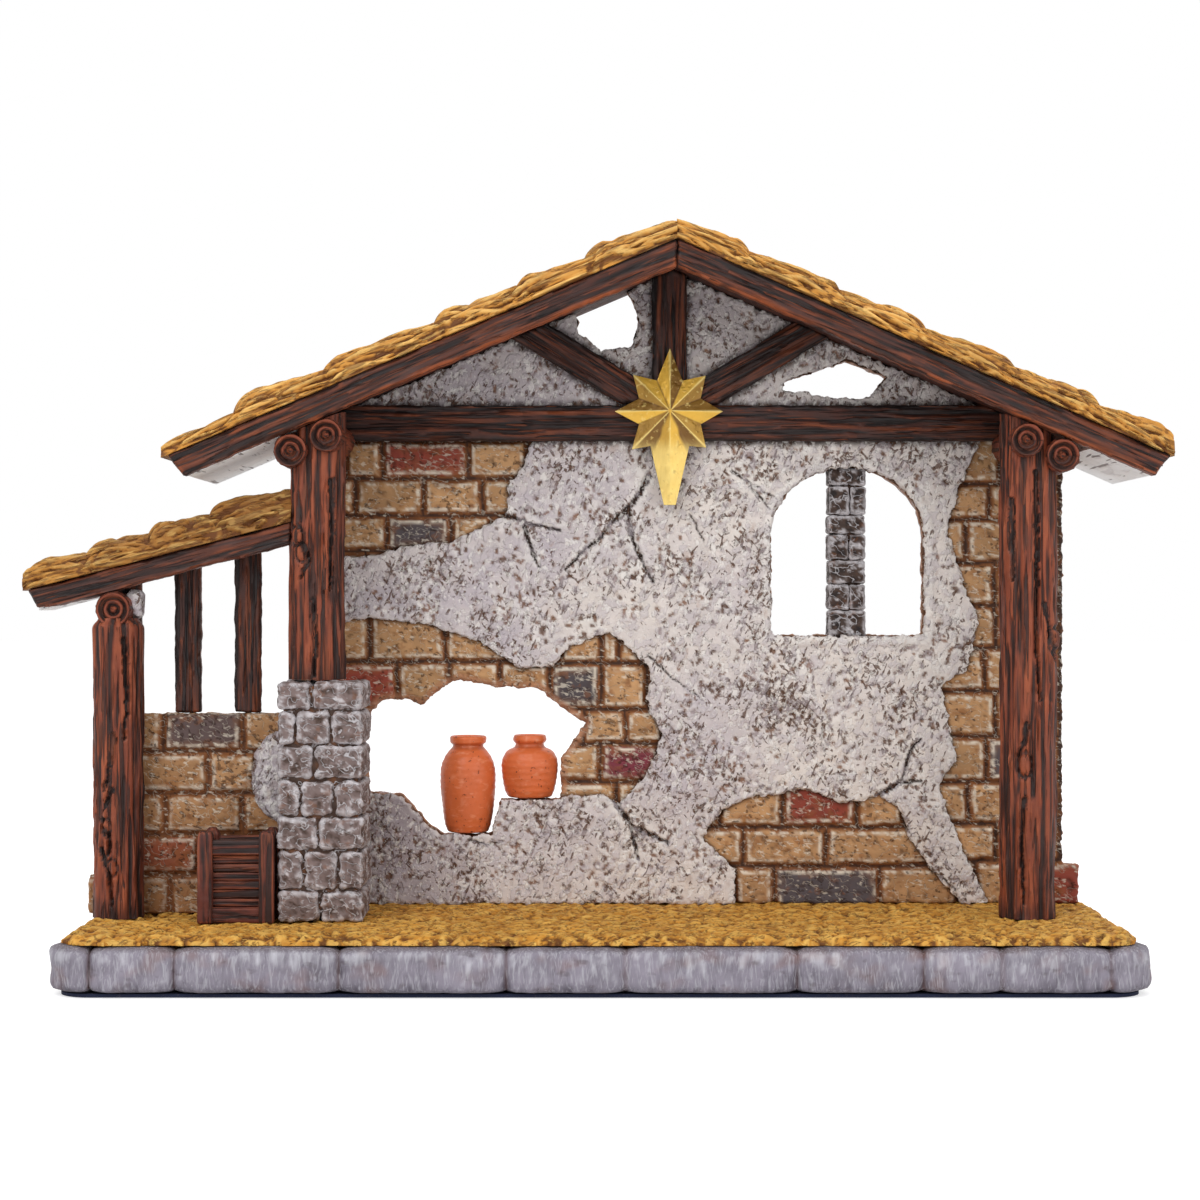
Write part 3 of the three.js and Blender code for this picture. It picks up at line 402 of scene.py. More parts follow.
@dataclass(frozen=True)
class Mark:
    """Fine marks that the relief is too coarse for, where a stretched noise passes a level.

    The size is in mm along, through and across the piece, and the turn in degrees. The depth is
    in mm, less than 0 for a hollow. Marks that are lines run where the noise is near its middle.
    """

    paint: Paint
    size: Place
    low: float
    high: float
    share: float = 0.8
    depth: float = 0.0
    turn: float = 0.0
    crowd: float = 0.0
    lines: bool = False


DRIFT_SIZE = (17.0, 17.0, 15.0)  # Size in mm of the drifts that crowded marks lie in


def placed(name: str, data: bpy.types.ID) -> bpy.types.Object:
    """Puts something into the scene.

    Args:
        name: Its name.
        data: Its mesh, lamp or camera.

    Returns:
        The object.
    """
    made = bpy.data.objects.new(name, data)
    bpy.context.scene.collection.objects.link(made)
    return made


class Palette:
    """Puts nodes together in the tree of a material or of the sky."""

    def __init__(self, tree: bpy.types.NodeTree, shader: str = "Principled BSDF") -> None:
        """Takes the tree and the name of its shader."""
        self.tree = tree
        self.shader = tree.nodes[shader]

    def feed(self, socket: Socket, value: object) -> None:
        """Links a socket, or sets its value.

        Args:
            socket: An input.
            value: What is linked to it, or else its value.
        """
        if isinstance(value, Socket):
            self.tree.links.new(value, socket)
        else:
            socket.default_value = value

    def shade(self, **values: object) -> None:
        """Feeds inputs of the shader, named with _ for each space."""
        for name, value in values.items():
            self.feed(self.shader.inputs[name.replace("_", " ")], value)

    def node(self, kind: str, inputs: dict[str, object], out: str, **settings: object) -> Socket:
        """Adds a node.

        Args:
            kind: Type of the node, without its prefix.
            inputs: A socket or a value for each input that is used.
            out: Name of the output that is wanted.
            settings: Properties of the node.

        Returns:
            That output.
        """
        made = self.tree.nodes.new("ShaderNode" + kind)
        for name, value in settings.items():
            setattr(made, name, value)
        for name, value in inputs.items():
            self.feed(next(s for s in made.inputs if s.enabled and s.name == name), value)
        return next(s for s in made.outputs if s.enabled and s.name == out)

    def maths(self, operation: str, *values: object) -> Socket:
        """Adds a Math node.

        Args:
            operation: What it does.
            values: A socket or a number for each of its inputs.

        Returns:
            Its output.
        """
        made = self.tree.nodes.new("ShaderNodeMath")
        made.operation = operation
        for socket, value in zip(made.inputs, values):
            self.feed(socket, value)
        return made.outputs[0]

    def noise(self, place: Socket, size: Place, turn: float = 0.0, detail: float = 2.0) -> Socket:
        """Adds stretched noise.

        Args:
            place: Where each point lies, in mm.
            size: Size of its lumps along, through and across, in mm.
            turn: How it is turned, in degrees.
            detail: How many finer layers it has.

        Returns:
            The noise, about 0 to 1.
        """
        laid = self.node(
            "Mapping", {"Vector": place, "Rotation": (0, math.radians(turn), 0), "Scale": size},
            "Vector", vector_type="TEXTURE")
        return self.node("TexNoise", {"Vector": laid, "Scale": 1.0, "Detail": detail}, "Fac")

    def mapped(self, value: Socket, low: float, high: float, start: float, stop: float) -> Socket:
        """Maps low and high to start and stop."""
        ends = {"From Min": low, "From Max": high, "To Min": start, "To Max": stop}
        return self.node("MapRange", {"Value": value, **ends}, "Result")

    def mixed(self, colour: Tone, over: Tone, share: Socket | float,
              blending: str = "MIX") -> Socket:
        """Lays one colour over another."""
        return self.node("Mix", {"Factor": share, "A": colour, "B": over}, "Result",
                         data_type="RGBA", blend_type=blending)

    def share(self, mark: Mark, place: Socket) -> Socket:
        """Adds a mark.

        Args:
            mark: The mark.
            place: Where each point lies, in mm.

        Returns:
            How much of it shows at each place.
        """
        level = self.noise(place, mark.size, mark.turn)
        if mark.crowd:
            drift = self.maths("SUBTRACT", self.noise(place, DRIFT_SIZE, 20.0, 3.0), 0.5)
            level = self.maths("MULTIPLY_ADD", drift, mark.crowd, level)
        if mark.lines:
            level = self.maths("ABSOLUTE", self.maths("SUBTRACT", level, 0.5))
        return self.mapped(level, mark.low, mark.high, 0.0, mark.share)


@dataclass(frozen=True)
class Finish:
    """Hand paint over cast resin: its gloss and its fine marks.

    With no colour of its own it shows the paint that the piece carries, and lies by the piece's
    grain.
    """

    name: str
    roughness: float
    marks: tuple[Mark, ...]
    colour: Paint | None = None
    metallic: float = 0.0
    specular: float = 0.35
    mottle: float = 0.08
    cloud: float = 6.0
    grit: float = 1.2

    def material(self) -> bpy.types.Material:
        """Builds the node material, once for each finish.

        Returns:
            The material.
        """
        made = bpy.data.materials.get(self.name)
        if made:
            return made
        made = bpy.data.materials.new(self.name)
        made.use_nodes = True
        kit = Palette(made.node_tree)
        if self.colour is None:
            place = kit.node("Attribute", {}, "Vector", attribute_name="grain")
            colour = kit.node("Attribute", {}, "Color", attribute_name="paint")
        else:
            there = kit.node("TexCoord", {}, "Object")
            place = kit.node("VectorMath", {"Vector": there, "Scale": 1 / MM}, "Vector",
                             operation="SCALE")
            colour = (*self.colour.rgb, 1.0)
        cloudy = kit.noise(place, (self.cloud,) * 3, detail=4.0)
        tone = kit.mapped(cloudy, 0.3, 0.7, 1 - self.mottle, 1 + self.mottle)
        colour = kit.mixed(colour, tone, 1.0, "MULTIPLY")
        gritty = kit.noise(place, (self.grit,) * 3, detail=4.0)
        height = kit.maths("MULTIPLY", gritty, self.grit / 10)
        for mark in self.marks:
            share = kit.share(mark, place)
            colour = kit.mixed(colour, (*mark.paint.rgb, 1.0), share)
            if mark.depth:
                height = kit.maths("MULTIPLY_ADD", share, mark.depth / mark.share, height)
        gloss = kit.mapped(cloudy, 0.3, 0.7, self.roughness - 0.08, self.roughness + 0.08)
        bump = kit.node("Bump", {"Height": height, "Strength": 1.0, "Distance": MM}, "Normal")
        kit.shade(Metallic=self.metallic, Specular_IOR_Level=self.specular, Base_Color=colour,
                  Roughness=gloss, Normal=bump)
        return made


def grained(dark: Paint, light: Paint, deep: float = 0.35) -> tuple[Mark, ...]:
    """Marks of hewn timber: long dark lines and paler streaks between them.

    Args:
        dark: Paint in the lines.
        light: Paint of the streaks.
        deep: Depth of the longest lines, in mm.

    Returns:
        The marks.
    """
    return (
        Mark(light, (30, 2.0, 2.0), 0.56, 0.68, 0.3),
        Mark(dark, (48, 1.6, 1.6), 0.55, 0.6, 0.85, -deep),
        Mark(dark, (22, 0.9, 0.9), 0.58, 0.64, 0.6, -0.6 * deep),
        Mark(light, (16, 0.8, 0.8), 0.61, 0.68, 0.35, 0.1),
    )


def dashes(paint: Paint, share: float) -> tuple[Mark, ...]:
    """Short broken hollows that lie in drifts, at several leans.

    Args:
        paint: Paint in the hollows.
        share: How strong it is.

    Returns:
        The marks.
    """
    return (
        Mark(paint, (1.4, 2.0, 4.0), 0.615, 0.655, share, -0.3, 24, 0.3),
        Mark(paint, (1.2, 2.0, 3.0), 0.63, 0.67, share, -0.25, -38, 0.4),
        Mark(paint, (1.1, 1.5, 1.9), 0.64, 0.68, 0.8 * share, -0.2, 70, 0.5),
    )


PLASTERED = Finish("plaster_paint", 0.8, (
    Mark(Paint.PLASTER_RUST, (3.0, 3.0, 5.0), 0.58, 0.7, 0.3, -0.12, 18, 0.3),
    *dashes(Paint.PLASTER_PIT, 0.85),
    Mark(Paint.PLASTER_COOL, (2.4, 2.4, 3.2), 0.5, 0.6, 0.5, -0.3, 30),
    Mark(Paint.PLASTER_TIP, (1.7, 1.7, 2.3), 0.57, 0.64, 0.6, 0.18, 12),
    Mark(Paint.PLASTER_TIP, (0.8, 0.8, 0.8), 0.6, 0.68, 0.5, 0.08),
))
BRICKED = Finish("brick_paint", 0.75, (
    Mark(Paint.MORTAR, (3.6, 3.6, 3.0), 0.58, 0.68, 0.45, -0.1),
    Mark(Paint.MORTAR_DARK_AND_SHADOW, (1.7, 1.7, 1.3), 0.63, 0.68, 0.6, -0.3, 15, 0.3),
    Mark(Paint.BRICK_TIP, (6.0, 6.0, 4.0), 0.014, 0.004, 0.3, 0.12, 25, lines=True),
    Mark(Paint.BRICK_TIP, (2.2, 2.2, 1.0), 0.6, 0.67, 0.5, 0.12, 12),
), mottle=0.12)
STONY = Finish("stone_paint", 0.72, (
    Mark(Paint.STONE_DARK, (2.4, 2.4, 2.0), 0.58, 0.68, 0.55, -0.2, 20),
    Mark(Paint.STONE_TIP, (6.0, 6.0, 4.0), 0.02, 0.005, 0.65, 0.25, 30, lines=True),
    Mark(Paint.STONE_TIP, (2.0, 2.0, 1.3), 0.6, 0.68, 0.4, 0.15, -20),
    Mark(Paint.MORTAR, (3.2, 3.2, 3.2), 0.6, 0.7, 0.35),
), mottle=0.14)
BRUSHED = Finish("plinth_paint", 0.68, (
    Mark(Paint.PLINTH_DARK, (1.6, 1.6, 9.0), 0.54, 0.7, 0.25, -0.12, 6),
    Mark(Paint.PLINTH_TIP, (0.7, 0.7, 9.0), 0.52, 0.68, 0.28, 0.08, -7),
    Mark(Paint.PLINTH_TIP, (0.6, 0.6, 5.0), 0.56, 0.68, 0.25, 0.06, 10),
    Mark(Paint.MORTAR_DARK_AND_SHADOW, (5.0, 5.0, 3.0), 0.62, 0.74, 0.35, -0.1),
), mottle=0.12)
POSTED = Finish("post_paint", 0.55, grained(Paint.POST_DARK, Paint.POST_TIP), mottle=0.12)
BEAMED = Finish("beam_paint", 0.55, grained(Paint.BEAM_DARK, Paint.BEAM_TIP), mottle=0.12)
CRATED = Finish("crate_paint", 0.55, grained(Paint.CRATE_DARK, Paint.CRATE_TIP, 0.2), mottle=0.12)
STRAWED = Finish("straw_paint", 0.7, (
    Mark(Paint.STRAW_DARK, (1.8, 1.8, 1.8), 0.58, 0.66, 0.6, -0.3, 20),
    Mark(Paint.STRAW_DARK, (5.0, 1.0, 1.0), 0.59, 0.65, 0.6, -0.2, -30),
    Mark(Paint.STRAW_TIP, (3.6, 0.9, 0.9), 0.58, 0.66, 0.6, 0.15, 35),
), mottle=0.12)
THATCHED = Finish("thatch_paint", 0.66, (
    Mark(Paint.THATCH_DARK, (15, 1.3, 1.3), 0.56, 0.63, 0.65, -0.35),
    Mark(Paint.THATCH_DARK, (7, 0.9, 0.9), 0.59, 0.65, 0.6, -0.2, 6),
    Mark(Paint.THATCH_TIP, (11, 1.1, 1.1), 0.58, 0.66, 0.4, 0.15, -4),
), mottle=0.1)
GILT = Finish("gold_paint", 0.38, (
    Mark(Paint.GOLD_DARK, (3.0, 3.0, 3.0), 0.6, 0.72, 0.35, -0.1),
    Mark(Paint.GOLD_TIP, (1.6, 1.6, 1.6), 0.6, 0.7, 0.4, 0.08),
), metallic=0.35, specular=0.5)
POTTED = Finish("terracotta_paint", 0.36, (
    Mark(Paint.JAR_TIP, (3.6, 3.6, 1.4), 0.6, 0.72, 0.35),
    Mark(Paint.JAR_DARK, (1.2, 1.2, 1.2), 0.67, 0.71, 0.75, -0.15),
), mottle=0.06)
DECKED = Finish("deck_paint", 0.7, grained(Paint.BEAM_DARK, Paint.BEAM_TIP), Paint.BEAM)
EAVED = Finish("eave_paint", 0.8, (
    Mark(Paint.PLASTER_COOL, (3.0, 16, 3.0), 0.58, 0.68, 0.3, -0.15),
    Mark(Paint.BEAM, (1.6, 22, 2.0), 0.62, 0.67, 0.7, -0.2),
), Paint.EAVE)
# Foam sheet finish; its dark colour is also a painted shadow under the base.
SHEET_AND_SHADOW_FINISH = Finish("foam_sheet_and_shadow", 0.9, (
    Mark(Paint.PLINTH_DARK, (0.8, 0.8, 0.8), 0.6, 0.68, 0.3, -0.1),
), Paint.FOAM_AND_SHADOW)


@dataclass
class Shell:
    """One closed skin: its points in mm, its faces, and at each point a paint and its grain.

    The grain is where the point lies along, through and across the piece, in mm.
    """

    points: Array
    faces: list[Array]
    paint: Array
    grain: Array | None = None

    @classmethod
    def joined(cls, shells: list["Shell"]) -> "Shell":
        """Several skins as one piece.

        Args:
            shells: The skins.

        Returns:
            One shell that holds them all.
        """
        faces, start = [], 0
        for shell in shells:
            faces += [group + start for group in shell.faces]
            start += len(shell.points)
        grains = [shell.points if shell.grain is None else shell.grain for shell in shells]
        return cls(np.concatenate([shell.points for shell in shells]), faces,
                   np.concatenate([shell.paint for shell in shells]), np.concatenate(grains))

    def outward(self) -> "Shell":
        """Turns the faces outwards where they look inwards.

        Returns:
            This shell.
        """
        total = 0.0
        for group in self.faces:
            corners = self.points[group]
            for k in range(1, group.shape[1] - 1):
                cross = np.cross(corners[:, k], corners[:, k + 1])
                total += float(np.einsum("ij,ij->", corners[:, 0], cross))
        if total < 0:
            self.faces = [group[:, ::-1] for group in self.faces]
        return self

    def piece(self, name: str, finish: Finish, slot: str, *nodes: str,
              sharp: float = 60) -> bpy.types.Object:
        """Makes the Blender object and ties it to the frame.

        Args:
            name: Name of the piece.
            finish: What it is finished in.
            slot: The record's material slot, which is not used.
            nodes: CAD nodes that it stands for.
            sharp: Edges that turn by more than this many degrees stay sharp.

        Returns:
            The object.
        """
        mesh = bpy.data.meshes.new(name)
        mesh.vertices.add(len(self.points))
        mesh.vertices.foreach_set("co", (self.points * MM).astype(np.float32).ravel())
        corners = np.concatenate([group.ravel() for group in self.faces])
        sizes = np.concatenate([np.full(len(group), group.shape[1]) for group in self.faces])
        mesh.loops.add(len(corners))
        mesh.loops.foreach_set("vertex_index", corners.astype(np.int32))
        mesh.polygons.add(len(sizes))
        starts = np.concatenate([[0], np.cumsum(sizes)[:-1]])
        mesh.polygons.foreach_set("loop_start", starts.astype(np.int32))
        mesh.polygons.foreach_set("loop_total", sizes.astype(np.int32))
        mesh.polygons.foreach_set("use_smooth", np.ones(len(sizes), bool))
        mesh.update(calc_edges=True)
        mesh.validate()
        layer = mesh.attributes.new("paint", "FLOAT_COLOR", "POINT")
        colours = np.concatenate([np.clip(self.paint, 0, 1), np.ones((len(self.paint), 1))], 1)
        layer.data.foreach_set("color", colours.astype(np.float32).ravel())
        layer = mesh.attributes.new("grain", "FLOAT_VECTOR", "POINT")
        grain = self.points if self.grain is None else self.grain
        layer.data.foreach_set("vector", grain.astype(np.float32).ravel())
        mesh.set_sharp_from_angle(angle=math.radians(sharp))
        mesh.materials.append(finish.material())
        made = placed(name, mesh)
        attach(made, "root")
        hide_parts(*nodes)
        log.info("%s: %d faces", name, len(sizes))
        return made


def skin(rings: Array, paint: Array, axes: tuple[int, int, int] = (2, 1, 0),
         fans: bool = True) -> Shell:
    """Closes a skin over rings of points, with a fan or one face on each end ring.

    Args:
        rings: Points as [ring, place round it, xyz].
        paint: A colour at each of those points.
        axes: Which axes run along, through and across its grain.
        fans: False where the end rings are ragged, which one flat face each then closes.

    Returns:
        The closed shell, its faces looking outwards.
    """
    count, around = rings.shape[:2]
    index = np.arange(count * around).reshape(count, around)
    nxt = np.roll(index, -1, axis=1)
    quads = np.stack([index[:-1], nxt[:-1], nxt[1:], index[1:]], -1).reshape(-1, 4)
    if not fans:
        points = rings.reshape(-1, 3)
        ends = [index[:1, ::-1], index[-1:]]
        return Shell(points, [quads, *ends], paint.reshape(-1, 3), points[:, axes]).outward()
    first, last = count * around, count * around + 1
    start = np.stack([np.full(around, first), nxt[0], index[0]], -1)
    end = np.stack([np.full(around, last), index[-1], nxt[-1]], -1)
    points = np.concatenate([rings.reshape(-1, 3), [rings[0].mean(0), rings[-1].mean(0)]])
    colours = np.concatenate([paint.reshape(-1, 3), [paint[0].mean(0), paint[-1].mean(0)]])
    return Shell(points, [quads, start, end], colours, points[:, axes]).outward()


def girth_of(half_width: float, half_depth: float, radius: float) -> float:
    """Length of the way round a rounded rectangle."""
    return 4 * (half_width + half_depth) - (8 - 2 * math.pi) * radius


def walk(half_width: float, half_depth: float, radius: float, way: Array) -> Pair:
    """Walks round a rounded rectangle, anticlockwise from the left end of its front straight.

    Args:
        half_width: Half its width.
        half_depth: Half its depth.
        radius: Radius of its corners.
        way: How far each point has gone.

    Returns:
        Points as x and y, and the direction outwards at each.
    """
    along, across = 2 * (half_width - radius), 2 * (half_depth - radius)
    quarter = math.pi * radius / 2
    points, outward = np.zeros((len(way), 2)), np.zeros((len(way), 2))
    start = 0.0
    for side, length in enumerate((along, across, along, across)):
        angle = side * math.pi / 2
        facing = np.array([math.sin(angle), -math.cos(angle)])
        heading = np.array([math.cos(angle), math.sin(angle)])
        corner = np.array([along, across]) / 2 * np.sign(np.round(facing + heading))
        straight = (way >= start) & (way < start + length)
        gone = (way[straight] - start - length)[:, None]
        points[straight] = corner + facing * radius + heading * gone
        outward[straight] = facing
        start += length
        bend = (way >= start) & (way <= start + quarter)
        turn = (way[bend] - start) / radius + angle - math.pi / 2
        ray = np.stack([np.cos(turn), np.sin(turn)], -1)
        points[bend], outward[bend] = corner + ray * radius, ray
        start += quarter
    return points, outward


@dataclass(frozen=True)
class Wash:
    """Three paints laid by relief: a body colour, a dark wash in hollows, a dry brush on top."""

    body: Paint
    dark: Paint
    tip: Paint
    hollow: float = 0.15
    proud: float = 0.12
    brush: float = 0.6

    def lay(self, wear: Array, chance: Array) -> Array:
        """Paints a net.

        Args:
            wear: How far each point stands proud of what is round it, in mm.
            chance: Noise between -1 and 1 that breaks the brushing up.

        Returns:
            A colour at each point.
        """
        brushed = ramp(self.proud * 0.25, self.proud, wear) * np.clip(0.6 + 0.6 * chance, 0, 1)
        return painted(self.body, (self.dark, ramp(0.0, self.hollow, -wear) * 0.95),
                       (self.tip, brushed * self.brush))


PLINTH_WASH = Wash(Paint.PLINTH, Paint.PLINTH_DARK, Paint.PLINTH_TIP, 0.3, 0.2, 0.7)
STONE_WASH = Wash(Paint.STONE, Paint.STONE_DARK, Paint.STONE_TIP, 0.22, 0.18, 0.75)
POST_WASH = Wash(Paint.POST, Paint.POST_DARK, Paint.POST_TIP, 0.26, 0.28, 0.45)
BEAM_WASH = Wash(Paint.BEAM, Paint.BEAM_DARK, Paint.BEAM_TIP, 0.2, 0.3, 0.45)
CRATE_WASH = Wash(Paint.CRATE, Paint.CRATE_DARK, Paint.CRATE_TIP, 0.15, 0.18, 0.6)
THATCH_WASH = Wash(Paint.THATCH, Paint.THATCH_DARK, Paint.THATCH_TIP, 0.45, 0.6, 0.85)
STRAW_WASH = Wash(Paint.STRAW, Paint.STRAW_DARK, Paint.STRAW_TIP, 0.45, 0.4, 0.8)


@dataclass(frozen=True)
class Eye:
    """Where the photograph was taken from: level with the middle of the wall, straight ahead."""

    distance: float = 750.0
    height: float = 115.9
    plane_y: float = -14.5
    pixel: float = 0.30488
    middle: float = 600.0

    def pixel_at(self, y: float) -> float:
        """Size of one photograph pixel on the plane at that y, in mm."""
        return self.pixel * (self.distance + y - self.plane_y) / self.distance

    def column(self, x: Array, y: float) -> Array:
        """Photograph column of a place."""
        return self.middle + x / self.pixel_at(y)

    def row(self, z: Array, y: float) -> Array:
        """Photograph row of a place."""
        return self.middle - (z - self.height) / self.pixel_at(y)

    def path(self, pixels: Path, y: float) -> Path:
        """Puts a path of photograph pixels on a plane.

        Args:
            pixels: Columns and rows.
            y: Where the plane is.

        Returns:
            The path in x and z, in mm.
        """
        size = self.pixel_at(y)
        return tuple(((column - self.middle) * size, self.height - (row - self.middle) * size)
                     for column, row in pixels)


EYE = Eye()


def box_of(node: str) -> Pair:
    """Lowest and highest corners of a CAD node, in mm."""
    low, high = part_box(node)
    return np.array(low) / MM, np.array(high) / MM


def enclosed(x: Array, z: Array, starts: Array, ends: Array) -> Array:
    """Tells which points lie inside an outline and outside its holes.

    Args:
        x: Across, any shape.
        z: Up, the same shape.
        starts: Where each stretch of the outline starts, in x and z.
        ends: Where each one ends.

    Returns:
        True or False at each point.
    """
    inside = np.zeros(x.shape, bool)
    for (ax, az), (bx, bz) in zip(starts, ends):
        if az != bz:
            crosses = (az > z) != (bz > z)
            inside ^= crosses & (x < (bx - ax) * (z - az) / (bz - az) + ax)
    return inside


@dataclass
class Outline:
    """The edge of a flat CAD node seen from the front, as straight stretches in x and z."""

    starts: Array
    ends: Array
    grow: float = 0.0

    @classmethod
    def of_node(cls, node: str, grow: float = 0.0) -> "Outline":
        """Reads the rim of the node's flat rear face.

        Args:
            node: Name of the CAD node.
            grow: How much wider the casting is all round, in mm.

        Returns:
            The outline, holes included.
        """
        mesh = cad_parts[node].data
        mesh.calc_loop_triangles()
        corners = np.empty(len(mesh.vertices) * 3, np.float32)
        mesh.vertices.foreach_get("co", corners)
        corners = corners.reshape(-1, 3).astype(float) / MM
        triangles = np.empty(len(mesh.loop_triangles) * 3, np.int32)
        mesh.loop_triangles.foreach_get("vertices", triangles)
        flat = corners[triangles.reshape(-1, 3)]
        rear = flat[(flat[:, :, 1] > flat[:, :, 1].max() - FLAT).all(1)][:, :, (0, 2)]
        edges = np.concatenate([rear[:, (0, 1)], rear[:, (1, 2)], rear[:, (2, 0)]])
        keys = np.round(edges * SNAPS).astype(np.int64)
        swapped = (keys[:, 0, 0] > keys[:, 1, 0]) | (
            (keys[:, 0, 0] == keys[:, 1, 0]) & (keys[:, 0, 1] > keys[:, 1, 1]))
        keys[swapped] = keys[swapped][:, ::-1]
        _, first, counts = np.unique(
            keys.reshape(-1, 4), axis=0, return_index=True, return_counts=True)
        rim = edges[first[counts == 1]]
        return cls(rim[:, 0], rim[:, 1], grow)

    def corners(self) -> Array:
        """Its corners, moved out to how much wider the casting is."""
        both = np.concatenate([self.starts, self.ends])
        return np.concatenate([both - self.grow, both + self.grow])

    def distance(self, x: Array, z: Array) -> Array:
        """Distance inside the edge, in mm: positive on the casting, negative off it.

        Args:
            x: Across, any shape.
            z: Up, the same shape.

        Returns:
            The distance at each point.
        """
        best = np.full(x.shape, np.inf)
        for (ax, az), (bx, bz) in zip(self.starts, self.ends):
            dx, dz = bx - ax, bz - az
            square = dx * dx + dz * dz
            if square == 0:
                continue
            share = np.clip(((x - ax) * dx + (z - az) * dz) / square, 0, 1)
            best = np.minimum(best, (x - ax - share * dx) ** 2 + (z - az - share * dz) ** 2)
        inside = enclosed(x, z, self.starts, self.ends)
        return np.where(inside, 1, -1) * np.sqrt(best) + self.grow


@dataclass
class Panel:
    """A flat casting with an outline and a relief on its face. It faces from rear to face.

    Its net is turned by an angle in radians, so that it lies along a sloping timber.
    """

    face: float
    rear: float
    step: float = 0.6
    rounding: float = 0.5
    ragged: float = 0.15
    ragged_size: float = 3.0
    seed: int = 1
    side_paint: Paint | None = None
    side_rings: int = 2
    side_relief: float = 0.0
    turn: float = 0.0

    def laid(self, x: Array, z: Array) -> Pair:
        """Place along and across the net."""
        cos, sin = math.cos(self.turn), math.sin(self.turn)
        return x * cos + z * sin, z * cos - x * sin

    def stood(self, along: Array, across: Array) -> Pair:
        """The x and z of a place along and across the net."""
        cos, sin = math.cos(self.turn), math.sin(self.turn)
        return along * cos - across * sin, along * sin + across * cos

    def shell(self, around: Array, inside: Field, relief: Relief) -> Shell:
        """Moulds the panel.

        Args:
            around: Places in x and z that the net has to take in.
            inside: Gives the distance inside the edge at x and z.
            relief: Gives depth behind the face plane and paint for x, z and that distance.

        Returns:
            The closed shell.
        """
        along, across = self.laid(around[:, 0], around[:, 1])
        step, size = self.step, self.ragged_size
        a, b = np.meshgrid(*(np.arange(way.min() - step, way.max() + 2 * step, step)
                             for way in (along, across)))
        wander = Noise(self.seed).layers(a / size, b / size, 3) * self.ragged
        edge = inside(*self.stood(a, b)) + wander
        slope_b, slope_a = np.gradient(edge, step)
        near = np.abs(edge) < 0.6 * step
        steep = np.maximum(slope_a**2 + slope_b**2, 0.25)
        a = np.where(near, a - edge * slope_a / steep, a)
        b = np.where(near, b - edge * slope_b / steep, b)
        kept = edge > -0.6 * step
        edge = np.where(near, 0, np.maximum(edge, 0))
        x, z = self.stood(a, b)
        depth, paint = relief(x, z, edge)
        sign = 1 if self.rear > self.face else -1
        worn = self.rounding * (1 - dome(edge / self.rounding))
        y = self.face + sign * (depth + worn)
        corners = cells_of(x.shape)
        there = kept.ravel()[corners]
        quads = corners[there.all(1)]
        partial = there.sum(1) == 3
        triangles = corners[partial][there[partial]].reshape(-1, 3)
        points = np.stack([x.ravel(), y.ravel(), z.ravel()], -1)
        slopes = np.stack(self.stood(slope_a.ravel(), slope_b.ravel()), -1)
        return self.closed(points, paint.reshape(-1, 3), quads, triangles, slopes)

    def closed(self, points: Array, paint: Array, quads: Array, triangles: Array,
               slopes: Array) -> Shell:
        """Adds the sides and the hidden back to a face.

        Args:
            points: Points of the face's net.
            paint: Their colours.
            quads: Four-cornered faces.
            triangles: Three-cornered faces.
            slopes: Direction inwards from the nearest edge, at each point.

        Returns:
            The closed shell.
        """
        size = len(points)
        sides = np.concatenate([
            np.stack([group[:, k], group[:, (k + 1) % group.shape[1]]], -1)
            for group in (quads, triangles) for k in range(group.shape[1])
        ])
        forward = sides[:, 0] * size + sides[:, 1]
        backward = sides[:, 1] * size + sides[:, 0]
        rim = sides[~np.isin(forward, backward)]
        used = np.unique(rim)
        place = np.full(size, -1)
        groups, layers, colours = [quads, triangles], [points], [paint]
        before, start = np.arange(size), size
        noise = Noise(self.seed + 7)
        for ring in range(1, self.side_rings + 1):
            share = ring / self.side_rings
            level = points[used].copy()
            level[:, 1] += (self.rear - level[:, 1]) * share
            if self.side_relief and ring < self.side_rings:
                dent = noise.layers((level[:, 0] + level[:, 2]) / 2.2, level[:, 1] / 2.2, 2)
                level[:, (0, 2)] += slopes[used] * (dent * self.side_relief)[:, None]
            here = place.copy()
            here[used] = start + np.arange(len(used))
            start += len(used)
            start_at, end_at = rim.T
            groups.append(np.stack(
                [before[end_at], before[start_at], here[start_at], here[end_at]], -1))
            layers.append(level)
            tint = paint[used]
            if self.side_paint:
                tint = painted(tint, (self.side_paint, 0.8))
            colours.append(tint)
            before = here
        groups.append(self.cap(layers[-1], before[rim], start - len(used)))
        every = np.concatenate(layers)
        tints = np.concatenate(colours)
        groups = [group for group in groups if len(group)]
        kept = np.unique(np.concatenate([group.ravel() for group in groups]))
        renumber = np.full(len(every), -1)
        renumber[kept] = np.arange(len(kept))
        every = every[kept]
        along, across = self.laid(every[:, 0], every[:, 2])
        grain = np.stack([along, every[:, 1], across], -1)
        return Shell(every, [renumber[group] for group in groups], tints[kept], grain).outward()

    @staticmethod
    def cap(level: Array, rim: Array, start: int) -> Array:
        """Fills the flat hidden back, holes left open.

        Args:
            level: Points of the last ring.
            rim: Edges of that ring, in the numbering of the whole shell.
            start: Number of the ring's first point.

        Returns:
            Triangles, in the numbering of the whole shell.
        """
        flat = level[:, (0, 2)]
        edges = rim - start
        found = delaunay_2d_cdt([Vector(place) for place in flat], edges.tolist(), [], 0, 1e-6)
        named = [ids[0] if ids else int(np.argmin(np.hypot(*(flat - np.array(place)).T)))
                 for place, ids in zip(found[0], found[3])]
        faces = np.array(named)[np.array(found[2])]
        inside = enclosed(*flat[faces].mean(1).T, flat[edges[:, 0]], flat[edges[:, 1]])
        return faces[inside] + start


